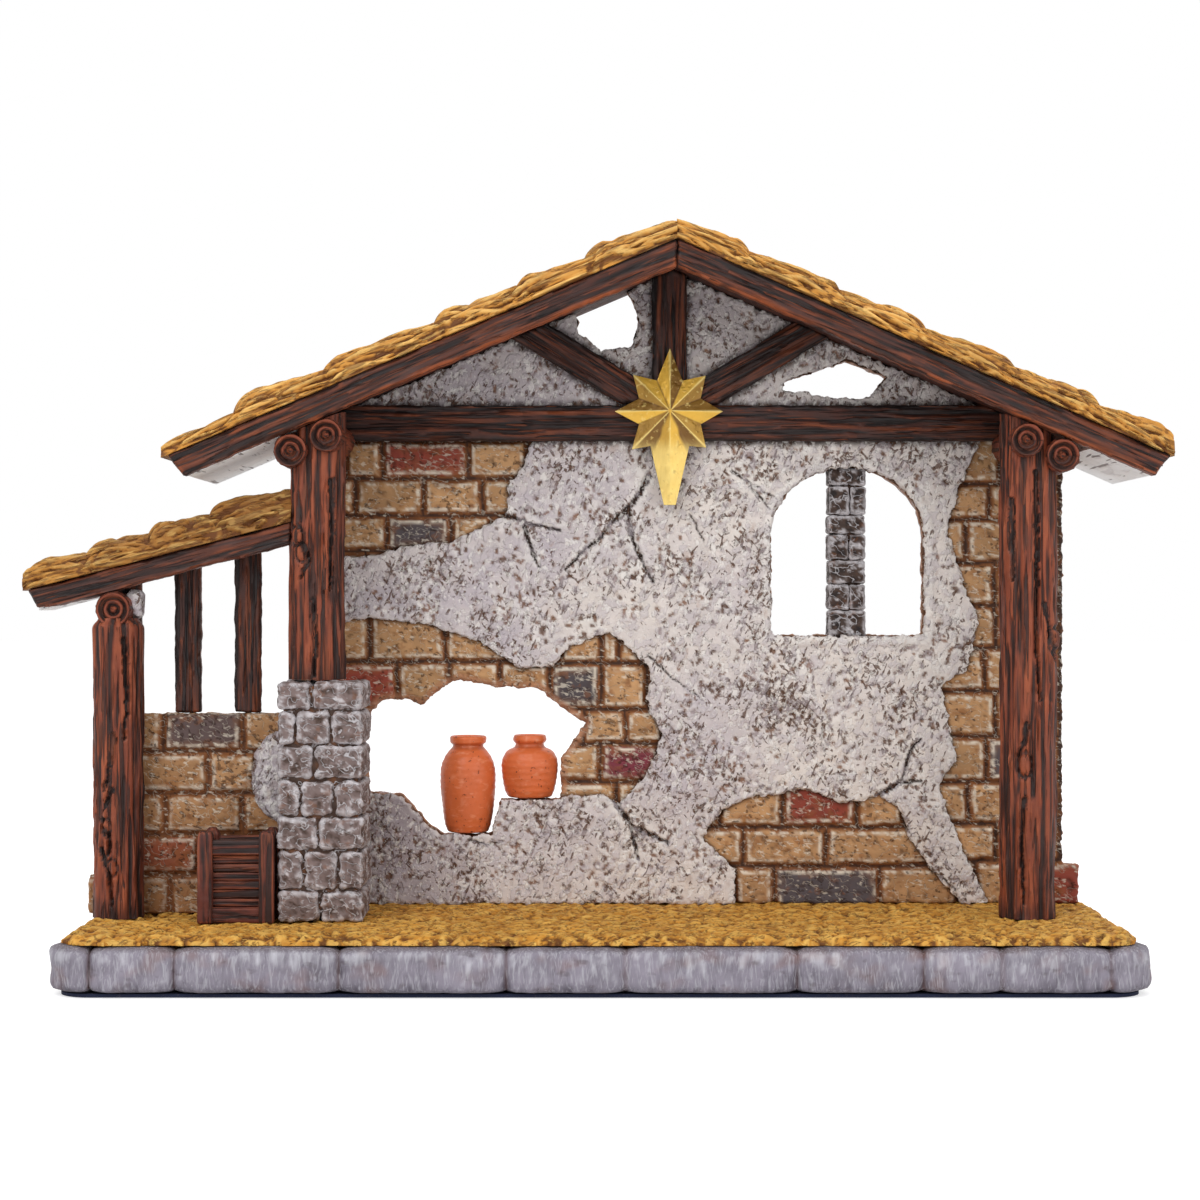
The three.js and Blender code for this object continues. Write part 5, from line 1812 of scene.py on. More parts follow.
@dataclass
class Masonry:
    """A column of rough blocks round a mortar core: the pier, or the mullion of the window."""

    node: str
    name: str
    rows: tuple[float, ...]
    splits: tuple[tuple[float, ...], ...]
    plane_y: float
    seed: int
    joint: float = 1.0
    rough: float = 0.6
    corner: float = 1.4
    halves: bool = True
    wash: Wash = STONE_WASH
    over: float = 0.0
    step: float = 0.6
    cuts: tuple[float, float] = (0.42, 0.58)
    juts: tuple[float, float] = (-0.35, 0.25)

    def build(self) -> None:
        """Lays the blocks. Rows and splits are read off the photograph, top first."""
        low, high = box_of(self.node)
        size = EYE.pixel_at(self.plane_y)
        levels = [EYE.height - (row - EYE.middle) * size for row in self.rows]
        levels[0], levels[-1] = high[2] + self.over, low[2] - self.over
        rng = np.random.default_rng(self.seed)
        shells, half = [], self.joint / 2
        for number, (top, bottom) in enumerate(zip(levels, levels[1:])):
            joints = [(column - EYE.middle) * size for column in self.splits[number]]
            places = [low[0], *joints, high[0]]
            for k, (left, right) in enumerate(zip(places, places[1:])):
                cuts = [low[1], high[1]]
                if self.halves:
                    share = self.cuts[(number + k) % 2]
                    cuts.insert(1, low[1] + (high[1] - low[1]) * share)
                for front, back in zip(cuts, cuts[1:]):
                    jut = rng.uniform(*self.juts, 3)
                    start = [left + half * (k > 0) - jut[0] * (k == 0) * 0.6,
                             front - jut[1] * (front == cuts[0]), bottom + half]
                    stop = [right - half * (k < len(joints)) + jut[2] * 0.6, back, top - half]
                    seed = int(rng.integers(1, 99999))
                    shells.append(rough_block(np.array(start), np.array(stop), seed, self.rough,
                                              self.corner, self.step, self.wash))
        core = rough_block(low + 1.5, high - 1.5, self.seed + 5, 0.15, 1.0, 1.2,
                           Wash(Paint.STONE_DARK, Paint.MORTAR_DARK_AND_SHADOW, Paint.MORTAR))
        Shell.joined([*shells, core]).piece(self.name, STONY, "stone", self.node, sharp=75)


@dataclass
class Plinth:
    """The stones round the base, and the straw on top of them."""

    stone_shares: tuple[float, ...] = (25, 48, 49, 35, 50, 37, 23, 32)
    side_stones: int = 4
    back_stones: int = 8
    corner: float = 14.0
    bulge: float = 3.0
    rounding: float = 3.4
    hollow: float = 9.0
    notch: float = 1.4
    spacing: float = 0.8
    insets: Place = (6.0, 3.5, 12.0)
    straw_inset: float = 5.0
    straw_step: float = 0.7
    straws: tuple[Stroke, ...] = tuple(
        Stroke(7, 2.0, 1.15, cover, lean, 0.5, 0.08, 0.4)
        for cover, lean in ((0.675, 0.2), (0.525, 1.2), (0.525, -0.7), (0.375, 0.5)))

    def joints(self, half_width: float, half_depth: float) -> Array:
        """Where one stone ends and the next begins.

        Args:
            half_width: Half the plinth's width.
            half_depth: Half its depth.

        Returns:
            Places as shares of the way round.
        """
        along = 2 * (half_width - self.corner)
        across = 2 * (half_depth - self.corner) + math.pi * self.corner
        front = [along * share / sum(self.stone_shares) for share in self.stone_shares]
        side = [across / self.side_stones] * self.side_stones
        lengths = [*front, *side, *[along / self.back_stones] * self.back_stones, *side]
        return np.concatenate([[0], np.cumsum(lengths)]) / (2 * along + 2 * across)

    def build(self) -> None:
        """Moulds the stones and the straw, and finishes the foam sheet, also a painted shadow."""
        low, high = box_of("base_plinth")
        half_width, half_depth = (high[0] - low[0]) / 2, (high[1] - low[1]) / 2
        perimeter = girth_of(half_width, half_depth, self.corner)
        arc = np.linspace(0, perimeter, round(perimeter / self.spacing), endpoint=False)
        points, outward = walk(half_width, half_depth, self.corner, arc)
        way = arc / perimeter
        joints = self.joints(half_width, half_depth)
        stone = np.clip(np.searchsorted(joints, way, side="right") - 1, 0, len(joints) - 2)
        share = (way - joints[stone]) / (joints[stone + 1] - joints[stone])
        span = (joints[stone + 1] - joints[stone]) * perimeter
        gap = np.minimum(share, 1 - share) * span
        hollow = 1 - dome(gap / self.hollow)
        tall = high[2] - low[2]
        levels = np.concatenate([[0.0], np.linspace(0.0, 1, 19), [1.0, 1.0]])
        inset = np.zeros(len(levels))
        inset[[0, -2, -1]] = self.insets
        rise = np.repeat(levels[:, None], len(way), 1)
        noise, brush = Noise(501), Noise(502)
        bumps = noise.layers(arc / 13, rise * tall / 9, 3)
        away = np.abs(rise - 0.5) * 2
        round_off = self.rounding * (1 - np.sqrt(np.clip(1 - away**6, 0, 1)))
        each = Noise(503).at(stone * 3.1 + 0.4, stone * 0.0 + 4.3)
        push = -round_off - self.bulge * hollow + 0.8 * bumps + 0.5 * each - 0.9
        fine = brush.layers(arc / 2.2, rise * tall / 7, 3)
        push = push + 0.15 * fine - inset[:, None]
        x = points[:, 0] + outward[:, 0] * push
        y = points[:, 1] + outward[:, 1] * push
        dip = self.notch * hollow * ramp(0.6, 1.0, rise)
        lift = 0.4 * hollow * ramp(0.35, 0.0, rise) * (np.arange(len(levels)) > 0)[:, None]
        z = low[2] + rise * tall - dip + lift + 0.25 * bumps * ramp(0.5, 1, rise)
        wear = 0.14 * fine + 0.12 * bumps - 0.2 * ramp(0.3, 0.9, hollow)
        wear = wear + 0.1 * ramp(0.35, 0.8, rise) * ramp(1.0, 0.85, rise)
        wear = wear - 0.14 * ramp(0.3, 0.0, rise)
        colour = PLINTH_WASH.lay(wear, brush.layers(arc / 1.2 + 9, rise * tall / 9, 3) + 0.2)
        tone = noise.layers(arc / 30 + 8, rise * 2, 2)
        stain = ramp(0.0, 0.8, noise.layers(arc / 11 + 60, rise * tall / 8, 3)) * 0.3
        colour = painted(colour * (1 + 0.16 * tone)[..., None],
                         (Paint.MORTAR, stain + 0.25 * ramp(0.5, 0.95, hollow)),
                         (Paint.MORTAR_DARK_AND_SHADOW, 0.5 * ramp(0.9, 1.0, rise + 0.05 * bumps)))
        skin(np.stack([x, y, z], -1), colour, (0, 1, 2)).piece(
            "base_stones", BRUSHED, "stone", "base_plinth")
        self.straw()
        dress("base_pad", SHEET_AND_SHADOW_FINISH)

    def straw(self) -> None:
        """Moulds the mat of straw."""
        low, high = box_of("straw_ground")
        half_width, half_depth = (high[0] - low[0]) / 2, (high[1] - low[1]) / 2
        net = Net(2 * half_width + 4, 2 * half_depth + 4, self.straw_step)
        net.strew(self.straws, 510)
        x, y = net.u - half_width - 2, net.v - half_depth - 2
        radius = self.corner - self.straw_inset
        over = np.hypot(np.maximum(np.abs(x) - half_width + radius, 0),
                        np.maximum(np.abs(y) - half_depth + radius, 0))
        straight = np.minimum(half_width - np.abs(x), half_depth - np.abs(y))
        inner = np.where(over > 0, radius - over, straight)
        edge = inner + 0.9 * Noise(520).layers(x / 5, y / 5, 3)
        colour = STRAW_WASH.lay(net.wear(1.8), Noise(521).layers(x / 6, y / 6, 3) + 0.2)
        colour = colour * (1 + 0.14 * Noise(522).layers(x / 22, y / 16, 3))[..., None]
        level = high[2] - 0.95 + net.height
        top = low[2] + 0.2 + (level - low[2]) * (0.25 + 0.75 * ramp(-0.2, 3.0, edge))
        kept = edge > 0
        corners = cells_of(kept.shape)[:, (0, 3, 2, 1)]
        quads = corners[kept.ravel()[corners].all(1)]
        laid = np.stack([x.ravel(), top.ravel(), y.ravel()], -1)
        panel = Panel(0, low[2], self.straw_step, side_rings=1)
        shell = panel.closed(laid, colour.reshape(-1, 3), quads, np.zeros((0, 3), int),
                             np.zeros((kept.size, 2)))
        shell.points = shell.points[:, (0, 2, 1)]
        shell.grain = shell.points
        shell.outward().piece("straw_mat", STRAWED, "straw", "straw_ground", sharp=80)


def dress(node: str, finish: Finish) -> None:
    """Gives a CAD node that stays in view its finish.

    Args:
        node: The node.
        finish: Its finish.
    """
    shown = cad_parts[node]
    shown.data.materials.clear()
    shown.data.materials.append(finish.material())
    log.info("%s dressed in %s", node, finish.name)


@dataclass
class Thatch:
    """A slope of moulded thatch: rows of bundles, each row lapping over the one below."""

    node: str
    rows: tuple[float, ...]
    end: float
    height: Slope
    thin: float
    thick: float
    seed: int
    growth: float = 0.0
    first: float = 1.0
    bundle: float = 13.0
    butt: float = 4.5
    step: float = 0.5
    side: float = 9.0
    # Strength of the painted shadow that a roof above casts on this thatch.
    roof_shadow: float = 0.0
    strands: tuple[Stroke, ...] = (
        Stroke(20, 2.6, 1.9, 0.55, 0.06, 0.1, 0.012, 0.35),
        Stroke(13, 2.2, 1.7, 0.45, 0.3, 0.1, 0.012, 0.35),
        Stroke(13, 2.2, 1.7, 0.45, -0.3, 0.1, 0.012, 0.35),
        Stroke(9, 1.4, 1.2, 0.35, 0.0, 0.1, 0.012, 0.35),
    )

    def build(self) -> None:
        """Moulds the thatch."""
        low, high = box_of(self.node)
        front, back = low[1], high[1]
        direction = 1 if self.end > self.rows[0] else -1
        depth = back - front
        net = Net(abs(self.end - self.rows[0]), depth + 2 * self.side, self.step)
        net.strew(self.strands, self.seed)
        noise = Noise(self.seed + 9)
        gone, across = net.u, net.v - self.side
        wander = 2.2 * noise.layers(across / 9, gone / 40, 3)
        x = self.rows[0] + direction * gone
        thickness, row = self.profile(x + direction * wander, across, direction)
        thickness = thickness * (1 + 0.08 * noise.layers(gone / 8 + 20, across / 8, 3))
        rim = np.minimum(thickness * 0.95, 6.0)
        corner = np.clip(1 - (across + self.side) / (self.side + rim), 0, 1)
        far = np.clip(1 - (depth + self.side - across) / (self.side + rim), 0, 1)
        front_turn, back_turn = corner * math.pi / 2, far * math.pi / 2
        at_front, at_back = across < rim, across > depth - rim
        y = np.where(at_front, rim * (1 - np.sin(front_turn)), np.clip(across, 0, depth))
        y = np.where(at_back, depth - rim * (1 - np.sin(back_turn)), y)
        drop = np.where(at_front, 1 - np.cos(front_turn), 0)
        drop = np.maximum(drop, np.where(at_back, 1 - np.cos(back_turn), 0))
        out_y = -np.sin(front_turn) + np.sin(back_turn)
        out_z = np.sqrt(np.clip(1 - out_y**2, 0, 1))
        net.height -= 0.45 * np.exp(-(((row - 3.4) / 0.8) ** 2)) * (corner > 0.25)
        relief = net.height - 0.9
        surface = self.height(x) + 0.15 + thickness * (1 - drop) + out_z * relief
        y = front + 0.9 + y * (depth - 1.8) / depth + out_y * relief
        # Each row is darker at and under its lower end, as painted shade under the butt.
        wear = net.wear(1.8) - 0.35 * ramp(1.6, 0.0, row)
        colour = THATCH_WASH.lay(wear, noise.layers(gone / 9, across / 5 + 30, 3) + 0.15)
        shades = 1 + 0.12 * noise.layers(gone / 26 + 40, across / 15, 3)
        share = np.clip(gone / net.length, 0, 1)
        # Painted shadow of the roof above, stronger upwards, and painted shade under the butts.
        colour = painted(colour * shades[..., None],
                         (Paint.THATCH_DARK, self.roof_shadow * (0.35 + 0.65 * share)),
                         (Paint.THATCH_DARK, ramp(1.0, -2.5, row) * 0.5))
        under = self.height(x) + 0.1
        first, last = (np.stack([x[:, :1], np.full((len(x), 1), place), under[:, :1]], -1)
                       for place in (front + 2.0, back - 2.0))
        top = np.stack([x, y, np.maximum(surface, under)], -1)
        rings = np.concatenate([first, top, last], 1)
        paints = np.concatenate([colour[:, :1], colour, colour[:, -1:]], 1)
        shell = skin(rings, paints, fans=False)
        slope = math.atan(float(self.height(1.0) - self.height(0.0)))
        cos, sin = math.cos(slope), math.sin(slope)
        px, py, pz = shell.points.T
        shell.grain = np.stack([px * cos + pz * sin, py, pz * cos - px * sin], -1)
        shell.piece(self.node.replace("thatch", "thatch_relief"), THATCHED, "thatch", self.node,
                    sharp=50)

    def profile(self, x: Array, across: Array, direction: int) -> Pair:
        """Thickness of the thatch, a saw with a step at each row's lower end.

        Args:
            x: Place along the roof.
            across: Place from the verge back.
            direction: 1 where the slope rises with x, or else -1.

        Returns:
            The thickness, and how far above its row's lower end each point is.
        """
        thickness = np.full(x.shape, self.thin * 0.45)
        above = np.full(x.shape, FAR)
        for number, (lower, upper) in enumerate(zip(self.rows, (*self.rows[1:], self.end))):
            lobe = np.abs(np.cos(math.pi * (across / self.bundle + 0.5 * number)))
            start = lower - direction * 3.0 * (lobe - 0.6)
            gone = (x - start) * direction
            span = abs(upper - lower)
            bank = self.thin + (self.thick - self.thin) * ramp(0.0, 1.0, 1 - gone / span * 0.6)
            bank = bank * (0.86 + 0.14 * lobe)
            hump = dome(gone / self.butt)
            if number:
                mass = self.thin * 0.8 * (1 - hump) + bank * hump
            else:
                mass = bank * (0.35 + 0.65 * hump) * self.first
            thickness = np.where(gone > 0, mass, thickness)
            above = np.where(gone > -1.2, gone, above)
        share = np.clip((x - self.rows[0]) / (self.end - self.rows[0]), 0, 1)
        return thickness * (1 + self.growth * share), above


@dataclass
class Roof:
    """Rafters, boards and thatch of the main roof and of the lean-to."""

    ridge: float = 23.6
    left_rows: tuple[float, ...] = (-134, -112.5, -84, -49.7, -25.5, -3)
    right_rows: tuple[float, ...] = (175.3, 151, 127, 99, 74, 46)
    lean_rows: tuple[float, ...] = (-178, -158.5, -139, -119)
    lean_growth: float = 0.6

    def line(self, node: str) -> Slope:
        """The straight top of a rafter, from the corners of its box.

        Args:
            node: Name of the rafter.

        Returns:
            Its height in mm, for x in mm.
        """
        low, high = box_of(node)
        outer, inner = (high[0], low[0]) if node == "rafter_right" else (low[0], high[0])
        slope = (high[2] - self.top_at(node, outer)) / (inner - outer)
        return lambda x: high[2] + slope * (x - inner)

    @staticmethod
    def top_at(node: str, outer: float) -> float:
        """Height of the rafter's top at its outer end."""
        corners = [vertex.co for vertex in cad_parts[node].data.vertices]
        return max(place.z / MM for place in corners if abs(place.x / MM - outer) < 0.8)

    def build(self) -> None:
        """Builds the roof."""
        rafters = ("rafter_left", 0.85), ("rafter_right", 0.85), ("lean_to_rafter", 0.3)
        left, right, lean = lines = [self.line(node) for node, _ in rafters]
        for number, ((node, shine), height) in enumerate(zip(rafters, lines)):
            slope = math.degrees(math.atan(float(height(1.0) - height(0.0))))
            Timber(node, 600 + 10 * number, slope, shine=shine).build()
        for node in ("roof_deck_left", "roof_deck_right", "lean_to_deck"):
            dress(node, DECKED)
        for node in ("eave_left", "eave_right", "lean_to_eave"):
            dress(node, EAVED)
        Thatch("thatch_left", self.left_rows, self.ridge, left, 4.4, 8.4, 640, first=0.55).build()
        Thatch("thatch_right", self.right_rows, self.ridge, right, 4.4, 8.4, 660).build()
        end = box_of("lean_to_thatch")[1][0]
        Thatch("lean_to_thatch", self.lean_rows, end, lean, 4.8, 8.0, 680, self.lean_growth,
               roof_shadow=0.7).build()


@dataclass
class TimberFrame:
    """Posts, logs and the timbers on the gable."""

    under: float = 8.6
    lump_y: tuple[float, float] = (-2.0, 6.0)
    logs: tuple[str, ...] = (
        "purlin_outer_left", "purlin_inner_left", "purlin_inner_right", "purlin_outer_right",
        "lean_to_purlin",
    )
    gable: tuple[tuple[str, float, Path], ...] = (
        ("tie_beam", 0.0, ((515, 425), (880, 421))), ("king_post", 90.0, ()),
        ("brace_left", -31.0, ()), ("brace_right", 28.0, ()),
    )

    def build(self) -> None:
        """Builds the timbers."""
        roof = Roof()
        left, right = roof.line("rafter_left"), roof.line("rafter_right")
        Post("left_post", "post_left", 701, lambda x: left(x) - self.under,
             cracks=(((303, 545), (309, 560), (300, 578)), ((331, 480), (333, 530), (330, 590)),
                     ((313, 600), (316, 640), (314, 676))),
             knots=((297, 536), (302, 552)), knot_size=2.2, shift=-0.8).build()
        Post("right_post", "post_right", 721, lambda x: right(x) - self.under,
             cracks=(((1036, 472), (1037, 560), (1036, 640), (1040, 700)),
                     ((1027, 724), (1024, 742), (1018, 757)),
                     ((1045, 605), (1052, 640), (1056, 660)), ((1012, 500), (1014, 580)),
                     ((1024, 800), (1021, 850), (1024, 905))),
             knots=((1025, 765), (1056, 640)), knot_size=2.8, shift=0.8).build()
        Post("corner_post", "post_corner", 741,
             cracks=(((113, 735), (110, 765), (104, 790)), ((112, 790), (102, 812)),
                     ((101, 820), (110, 845), (104, 866)), ((100, 850), (110, 880), (112, 905)),
                     ((124, 640), (127, 700), (124, 740))),
             knots=((106, 828), (112, 868)), knot_size=2.0, crown=0.25, shift=-1.2).build()
        for number, node in enumerate(self.logs):
            Log(node, 760 + number).build()
        for number, (node, turn, knots) in enumerate(self.gable):
            Timber(node, 780 + 6 * number, turn, shine=0.3, rim=0.9, knots=knots).build()
        (left, bottom), (right, top) = EYE.path(((126, 618), (141, 590)), self.lump_y[0])
        front, back = self.lump_y
        lump = rough_block(np.array([left, front, bottom]), np.array([right, back, top]), 795,
                           wash=Wash(Paint.PLASTER_COOL, Paint.PLASTER_PIT, Paint.PLASTER_TIP))
        lump.piece("lean_to_lump", PLASTERED, "plaster", "plaster_patch")


@dataclass
class Star:
    """The gilt star: eight ridged points and a long tail."""

    divisions: int = 14
    middle: tuple[float, float] = (22.4, 176.4)
    tips: int = 8
    dent: float = 0.12
    # Painted shade of each facet, two facets to each point.
    shades: tuple[float, ...] = (
        0.95, 0.15, 0.8, 0.9, 0.05, 0.65, 1, 0.05, 0.4, 1, 0.75, 0.0, 0.9, 0.7, 0.15, 0.0)

    def build(self) -> None:
        """Hammers the facets a little and gilds them, with painted shade and highlights."""
        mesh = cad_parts["star"].data
        corners = np.array([tuple(v.co) for v in mesh.vertices]) / MM
        mesh.calc_loop_triangles()
        index: dict[tuple[int, int, int], int] = {}
        places, faces = [], []
        count = self.divisions
        for triangle in mesh.loop_triangles:
            a, b, c = (corners[k] for k in triangle.vertices)
            grid = {}
            for i in range(count + 1):
                for j in range(count + 1 - i):
                    place = a + (b - a) * i / count + (c - a) * j / count
                    key = tuple(np.round(place * 100).astype(int))
                    if key not in index:
                        index[key] = len(places)
                        places.append(place)
                    grid[i, j] = index[key]
            for i in range(count):
                for j in range(count - i):
                    faces.append((grid[i, j], grid[i + 1, j], grid[i, j + 1]))
                    if j < count - i - 1:
                        faces.append((grid[i + 1, j], grid[i + 1, j + 1], grid[i, j + 1]))
        points = np.array(places)
        paint = self.gilded(points, box_of("star")[1][1])
        Shell(points, [np.array(faces)], paint).outward().piece(
            "gilt_star", GILT, "gold", "star", sharp=15)

    def gilded(self, points: Array, back: float) -> Array:
        """Dents the points a little, and paints each facet's shade and the ridges' highlights.

        Args:
            points: Points of the star in mm, which are moved.
            back: Where its flat back is.

        Returns:
            A colour at each point.
        """
        bumps = Noise(801).layers(points[:, 0] / 2.2, points[:, 2] / 2.2, 3)
        points[:, 1] -= self.dent * bumps * (points[:, 1] < back - 0.2)
        x, y, z = points.T
        turn = np.arctan2(x - self.middle[0], z - self.middle[1])
        side, facing = np.abs(np.sin(self.tips * turn)), np.cos(self.tips * turn)
        facet = (turn / math.pi * self.tips).astype(int) - (turn < 0)
        share = np.array(self.shades)[facet % (2 * self.tips)]
        tail = ramp(self.middle[1] - 8, self.middle[1] - 14, z)
        ridge = ramp(0.3, 0.0, side) * (facing > 0) * (1 - tail)
        valley = ramp(0.25, 0.0, side) * (facing < 0) * (1 - tail)
        # Painted highlights on the ridges, a paler tail, and darker valleys and back edges.
        bright = 0.85 * ridge + 0.75 * tail * (0.8 + 0.3 * bumps)
        return painted(
            Paint.GOLD, (Paint.GOLD_DARK, 0.9 * share + 0.1 * ramp(0.1, 0.9, -bumps)),
            (Paint.GOLD_TIP, np.clip(bright, 0, 1)), (Paint.GOLD_DARK, 0.7 * valley),
            (Paint.GOLD_DARK, ramp(back - 1.4, back - 0.3, y) * 0.8))


@dataclass
class Jar:
    """A thrown jar with a rolled lip."""

    node: str
    name: str
    belly_share: float
    neck: float
    lip: float
    foot: float
    seed: int
    taller: float = 0.0
    around: int = 72
    mouth: float = 3.0

    def build(self) -> None:
        """Throws the jar."""
        low, high = box_of(self.node)
        tall, belly = high[2] - low[2] + self.taller, (high[0] - low[0]) / 2
        level, neck, lip = self.belly_share, self.neck, self.lip
        corners = [
            (0.3, 0.0), (self.foot - 0.6, 0.0), (self.foot + 0.6, 0.7),
            (belly * 0.92, tall * level * 0.3), (belly, tall * level * 0.75),
            (belly * 1.03, tall * (level + 0.04)), (belly * 0.97, tall * (level + 0.16)),
            (belly * 0.8, tall * (level + 0.26)), (neck + 0.5, tall - 4.2), (neck, tall - 3.4),
            (neck + 0.1, tall - 2.8), (lip - 0.2, tall - 2.3), (lip, tall - 1.3),
            (lip - 0.2, tall - 0.3), (lip - 0.8, tall), (neck - 0.6, tall - 0.5),
            (neck - 1.2, tall - 1.6), (neck - 1.4, tall - self.mouth), (0.3, tall - self.mouth),
        ]
        profile = self.smoothed(np.array(corners))
        turn = np.linspace(0, 2 * math.pi, self.around, endpoint=False)
        r, t = np.meshgrid(profile[:, 0], turn, indexing="ij")
        z = np.repeat(profile[:, 1][:, None], self.around, 1)
        noise = Noise(self.seed)
        wobble = noise.layers(2 + np.cos(t) * 1.2, z / 9 + np.sin(t) * 1.2, 2)
        lines = 0.06 * np.sin(z * 3.1 + 0.6 * wobble)
        r = r + (0.18 * wobble + lines) * ramp(0.5, 3, r)
        tone = noise.layers(np.cos(t) * 3 + 9, z / 3 + np.sin(t) * 3, 4)
        neck_low = ramp(1.4, 0.3, np.abs(z - (tall - 3.6)))
        inside = np.arange(len(profile))[:, None] > len(profile) * 0.86
        # The inside of the mouth is darker as painted shade; the neck is darker under the lip.
        colour = painted(
            Paint.JAR, (Paint.JAR_DARK, ramp(0.3, 1.2, tone) * 0.3),
            (Paint.JAR_TIP, ramp(0.2, 0.9, -tone) * 0.4),
            (Paint.JAR_DARK, 0.45 * neck_low * (r < lip)), (Paint.JAR_DARK, 0.7 * inside))
        middle = (low + high) / 2
        points = np.stack([middle[0] + r * np.cos(t), middle[1] + r * np.sin(t), low[2] + z], -1)
        skin(points, colour, (0, 1, 2)).piece(self.name, POTTED, "terracotta", self.node)

    @staticmethod
    def smoothed(corners: Array, rounds: int = 3) -> Array:
        """Rounds a profile off by cutting its corners.

        Args:
            corners: Profile as radius and height.
            rounds: How many times the corners are cut.

        Returns:
            The smoother profile.
        """
        for _ in range(rounds):
            start, end = corners[:-1], corners[1:]
            halves = np.stack([start * 0.75 + end * 0.25, start * 0.25 + end * 0.75], 1)
            corners = np.concatenate([corners[:1], halves.reshape(-1, 2), corners[-1:]])
        return corners


@dataclass
class FeedBox:
    """The feed box beside the pier: planks between four knobbed posts."""

    planks: int = 6
    rail: float = 4.8
    sunk: float = 1.5
    thick: float = 2.4
    gap: float = 0.12
    floor: float = 4.6
    knob: float = 2.4

    @staticmethod
    def plank(low: Array | Place, high: Array | Place, seed: int, along: int) -> Shell:
        """One worn plank.

        Args:
            low: Lowest corner in mm.
            high: Highest corner in mm.
            seed: Seed of its grain.
            along: Axis that the grain runs along.

        Returns:
            Its shell.
        """
        low, high = np.array(low), np.array(high)
        corner = min(0.6, float(min(high - low)) / 2.4)
        shell = rough_block(low, high, seed, 0.08, corner, 0.5, CRATE_WASH)
        order = [along, *(axis for axis in range(3) if axis != along)]
        shell.grain = shell.points[:, order] + 5.7 * (seed % 89)
        across = (shell.grain[:, 1] + shell.grain[:, 2]) / 1.1
        grain = Noise(seed + 3).layers(shell.grain[:, 0] / 14, across, 3)
        edge = np.minimum(shell.points - low, high - shell.points)
        rim = (edge < 0.6).sum(1) > 1
        shell.paint = CRATE_WASH.lay(0.2 * grain + 0.16 * rim - 0.06, grain)
        return shell

    def build(self) -> None:
        """Joins the box from its planks and posts."""
        low, high = box_of("feed_box_body")
        (left, front, bottom), (right, rear, top) = low, high
        nodes = [f"feed_box_post_{corner}"
                 for corner in ("front_left", "front_right", "rear_left", "rear_right")]
        shells = [self.knobbed(node, 820 + k, 0.45 if "rear" in node else 0.15)
                  for k, node in enumerate(nodes)]
        long_sides = (front + 0.1, front + self.thick), (rear - self.thick, rear - 0.1)
        for number, (y0, y1) in enumerate(long_sides):
            for level, z0 in enumerate((bottom, top - self.rail)):
                shells.append(self.plank((left + 1, y0, z0), (right - 1, y1, z0 + self.rail),
                                         830 + 2 * number + level, 0))
            inner, outer = (0.0, self.sunk) if number else (self.sunk, 0.0)
            tall = (top - bottom - 2 * self.rail) / self.planks
            for k in range(self.planks):
                z0 = bottom + self.rail + k * tall
                board = self.plank((left + 1, y0 + inner, z0 + self.gap),
                                   (right - 1, y1 - outer, z0 + tall - self.gap),
                                   840 + 10 * number + k, 0)
                lip = ramp(top - self.rail - 1.6, top - self.rail - 0.6, board.points[:, 2])
                lip = 0.8 * (k == self.planks - 1) * lip
                board.paint = painted(board.paint * 0.7, (Paint.CRATE_TIP, lip))
                shells.append(board)
        short_sides = (left + 0.1, left + self.thick), (right - self.thick, right - 0.1)
        tall = (top - bottom) / (self.planks + 1)
        for number, (x0, x1) in enumerate(short_sides):
            for k in range(self.planks + 1):
                z0 = bottom + k * tall
                shells.append(self.plank((x0, front + 1, z0 + self.gap),
                                         (x1, rear - 1, z0 + tall - self.gap),
                                         870 + 10 * number + k, 1))
        shells.append(self.plank((left + 1, front + 1, bottom + 0.2),
                                 (right - 1, rear - 1, bottom + self.floor), 890, 0))
        Shell.joined(shells).piece(
            "feed_box", CRATED, "box_wood", "feed_box_body", *nodes, sharp=70)

    def knobbed(self, node: str, seed: int, rounded: float) -> Shell:
        """A square post whose top is rounded into a knob.

        Args:
            node: Name of its CAD node.
            seed: Seed of its grain.
            rounded: How far the top draws in, as a share.

        Returns:
            Its shell.
        """
        low, high = box_of(node)
        shell = self.plank(low, high, seed, 2)
        top = ramp(high[2] - self.knob, high[2], shell.points[:, 2])
        away = ((low + high) / 2)[:2] - shell.points[:, :2]
        shell.points[:, :2] += away * (rounded * top**2)[:, None]
        return shell


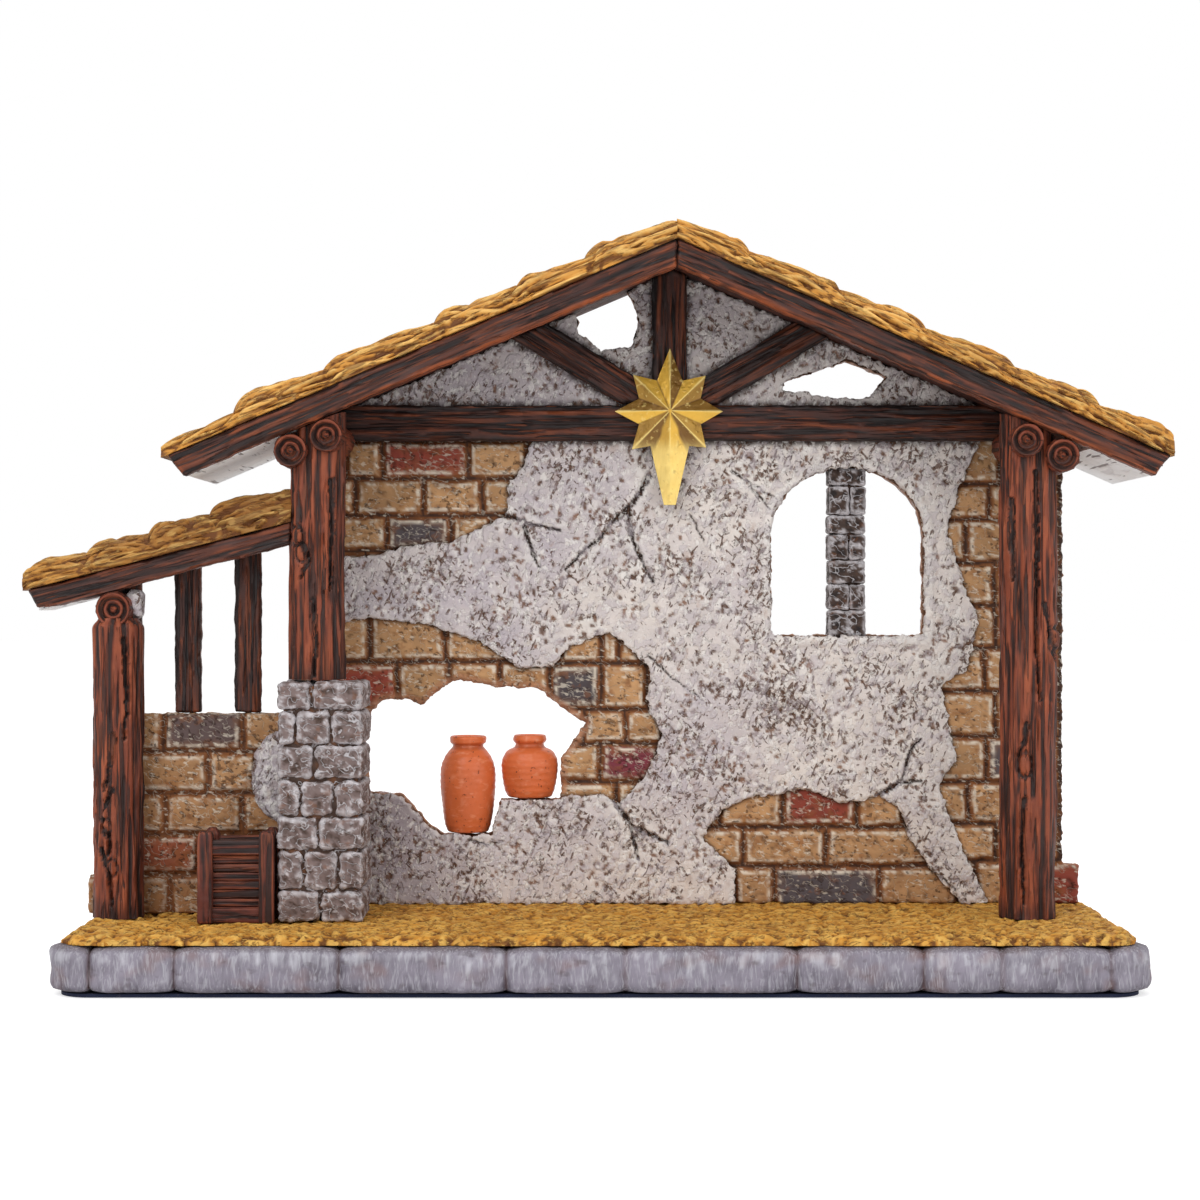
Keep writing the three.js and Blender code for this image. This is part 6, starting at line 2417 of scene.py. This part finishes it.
@dataclass
class Studio:
    """Camera, lamps, sky and floor."""

    sensor: float = 36.0
    frame_pixels: float = 1200.0
    clip: tuple[float, float] = (0.01, 20)
    world: float = 0.62
    lamps: tuple[tuple[str, Place, Place, float], ...] = (
        ("key_light", (-0.55, -1.1, 1.0), (0.0, 0.0, 0.09), 9.0),
        ("fill_light", (0.9, -1.0, 0.6), (0.0, 0.0, 0.1), 4.5),
        ("top_light", (0.1, 0.35, 1.3), (0.0, 0.0, 0.1), 4.0),
    )
    lamp_side: float = 1.0
    floor_glow: float = 0.56
    floor_half: float = 6.0
    floor_level: float = -0.0002

    def build(self) -> None:
        """Sets the scene up."""
        scene = bpy.context.scene
        scene.view_settings.view_transform = "Standard"
        scene.camera = self.camera()
        scene.world = self.sky()
        for name, place, aim, power in self.lamps:
            self.lamp(name, place, aim, power)
        self.floor()

    def camera(self) -> bpy.types.Object:
        """Places the camera where the photograph was taken from.

        Returns:
            The camera.
        """
        lens = bpy.data.cameras.new("camera")
        lens.sensor_width = self.sensor
        lens.lens = self.sensor * EYE.distance / (self.frame_pixels * EYE.pixel)
        lens.clip_start, lens.clip_end = self.clip
        made = placed("camera", lens)
        made.location = (0, (EYE.plane_y - EYE.distance) * MM, EYE.height * MM)
        made.rotation_euler = (math.pi / 2, 0, 0)
        return made

    @staticmethod
    def seen(kit: Palette) -> Socket:
        """Tells rays that look straight at something, or by a reflection or through glass.

        Args:
            kit: Palette of the tree that asks.

        Returns:
            1 for such rays and 0 for the rest.
        """
        path = kit.tree.nodes.new("ShaderNodeLightPath")
        total = path.outputs["Is Camera Ray"]
        for name in ("Is Glossy Ray", "Is Transmission Ray"):
            total = kit.maths("MAXIMUM", total, path.outputs[name])
        return total

    def sky(self) -> bpy.types.World:
        """Makes a sky that is white to look at and a plain soft light on the object.

        Returns:
            The sky.
        """
        sky = bpy.data.worlds.new("studio")
        sky.use_nodes = True
        kit = Palette(sky.node_tree, "Background")
        kit.shade(Color=WHITE, Strength=kit.mapped(self.seen(kit), 0.0, 1.0, self.world, 1.0))
        return sky

    def lamp(self, name: str, place: Place, aim: Place, power: float) -> None:
        """Adds a soft square lamp.

        Args:
            name: Its name.
            place: Where it stands, in metres.
            aim: What it faces, in metres.
            power: Its power, in watts.
        """
        data = bpy.data.lights.new(name, "AREA")
        data.size, data.energy = self.lamp_side, power
        made = placed(name, data)
        made.location = place
        made.rotation_euler = (Vector(aim) - Vector(place)).to_track_quat("-Z", "Y").to_euler()

    def floor(self) -> None:
        """A pale floor that looks white and keeps the object's shadow."""
        mesh = bpy.data.meshes.new("floor")
        half = self.floor_half
        corners = ((-half, -half), (half, -half), (half, half), (-half, half))
        mesh.from_pydata([(x, y, self.floor_level) for x, y in corners], [], [(0, 1, 2, 3)])
        pale = bpy.data.materials.new("pale_floor")
        pale.use_nodes = True
        kit = Palette(pale.node_tree)
        kit.shade(Base_Color=(0.8, 0.8, 0.8, 1.0), Roughness=0.9, Specular_IOR_Level=0.0,
                  Emission_Color=WHITE,
                  Emission_Strength=kit.maths("MULTIPLY", self.seen(kit), self.floor_glow))
        mesh.materials.append(pale)
        placed("floor", mesh)


def main() -> None:
    """Builds the studio and the stable, one sub-assembly after another."""
    logging.basicConfig(level=logging.INFO, format="%(name)s: %(message)s")
    Studio().build()
    Plinth().build()
    BackWall().build()
    LowWall().build()
    Masonry("stone_pier", "pier_blocks", (682, 711, 745.5, 780, 817, 851, 891, 926),
            ((311,), (295, 330), (314,), (300, 334), (318,), (303, 338), (320,)), -17, 901).build()
    Masonry("window_mullion", "mullion_blocks", (466, 486, 515, 534, 560, 584, 610, 635),
            ((), (850,), (), (849,), (), (849,), ()), 32.7, 931, 0.5, 0.35, 0.7, False,
            Wash(Paint.STONE_DARK, Paint.BEAM_DARK, Paint.STONE_TIP, brush=0.75), 1.5).build()
    TimberFrame().build()
    Roof().build()
    Star().build()
    Jar("tall_jar", "jar_tall", 0.55, 4.9, 6.0, 6.3, 811, 2.0).build()
    Jar("round_jar", "jar_round", 0.5, 4.6, 5.5, 6.8, 812, 1.5).build()
    FeedBox().build()


if __name__ == "__main__":
    main()
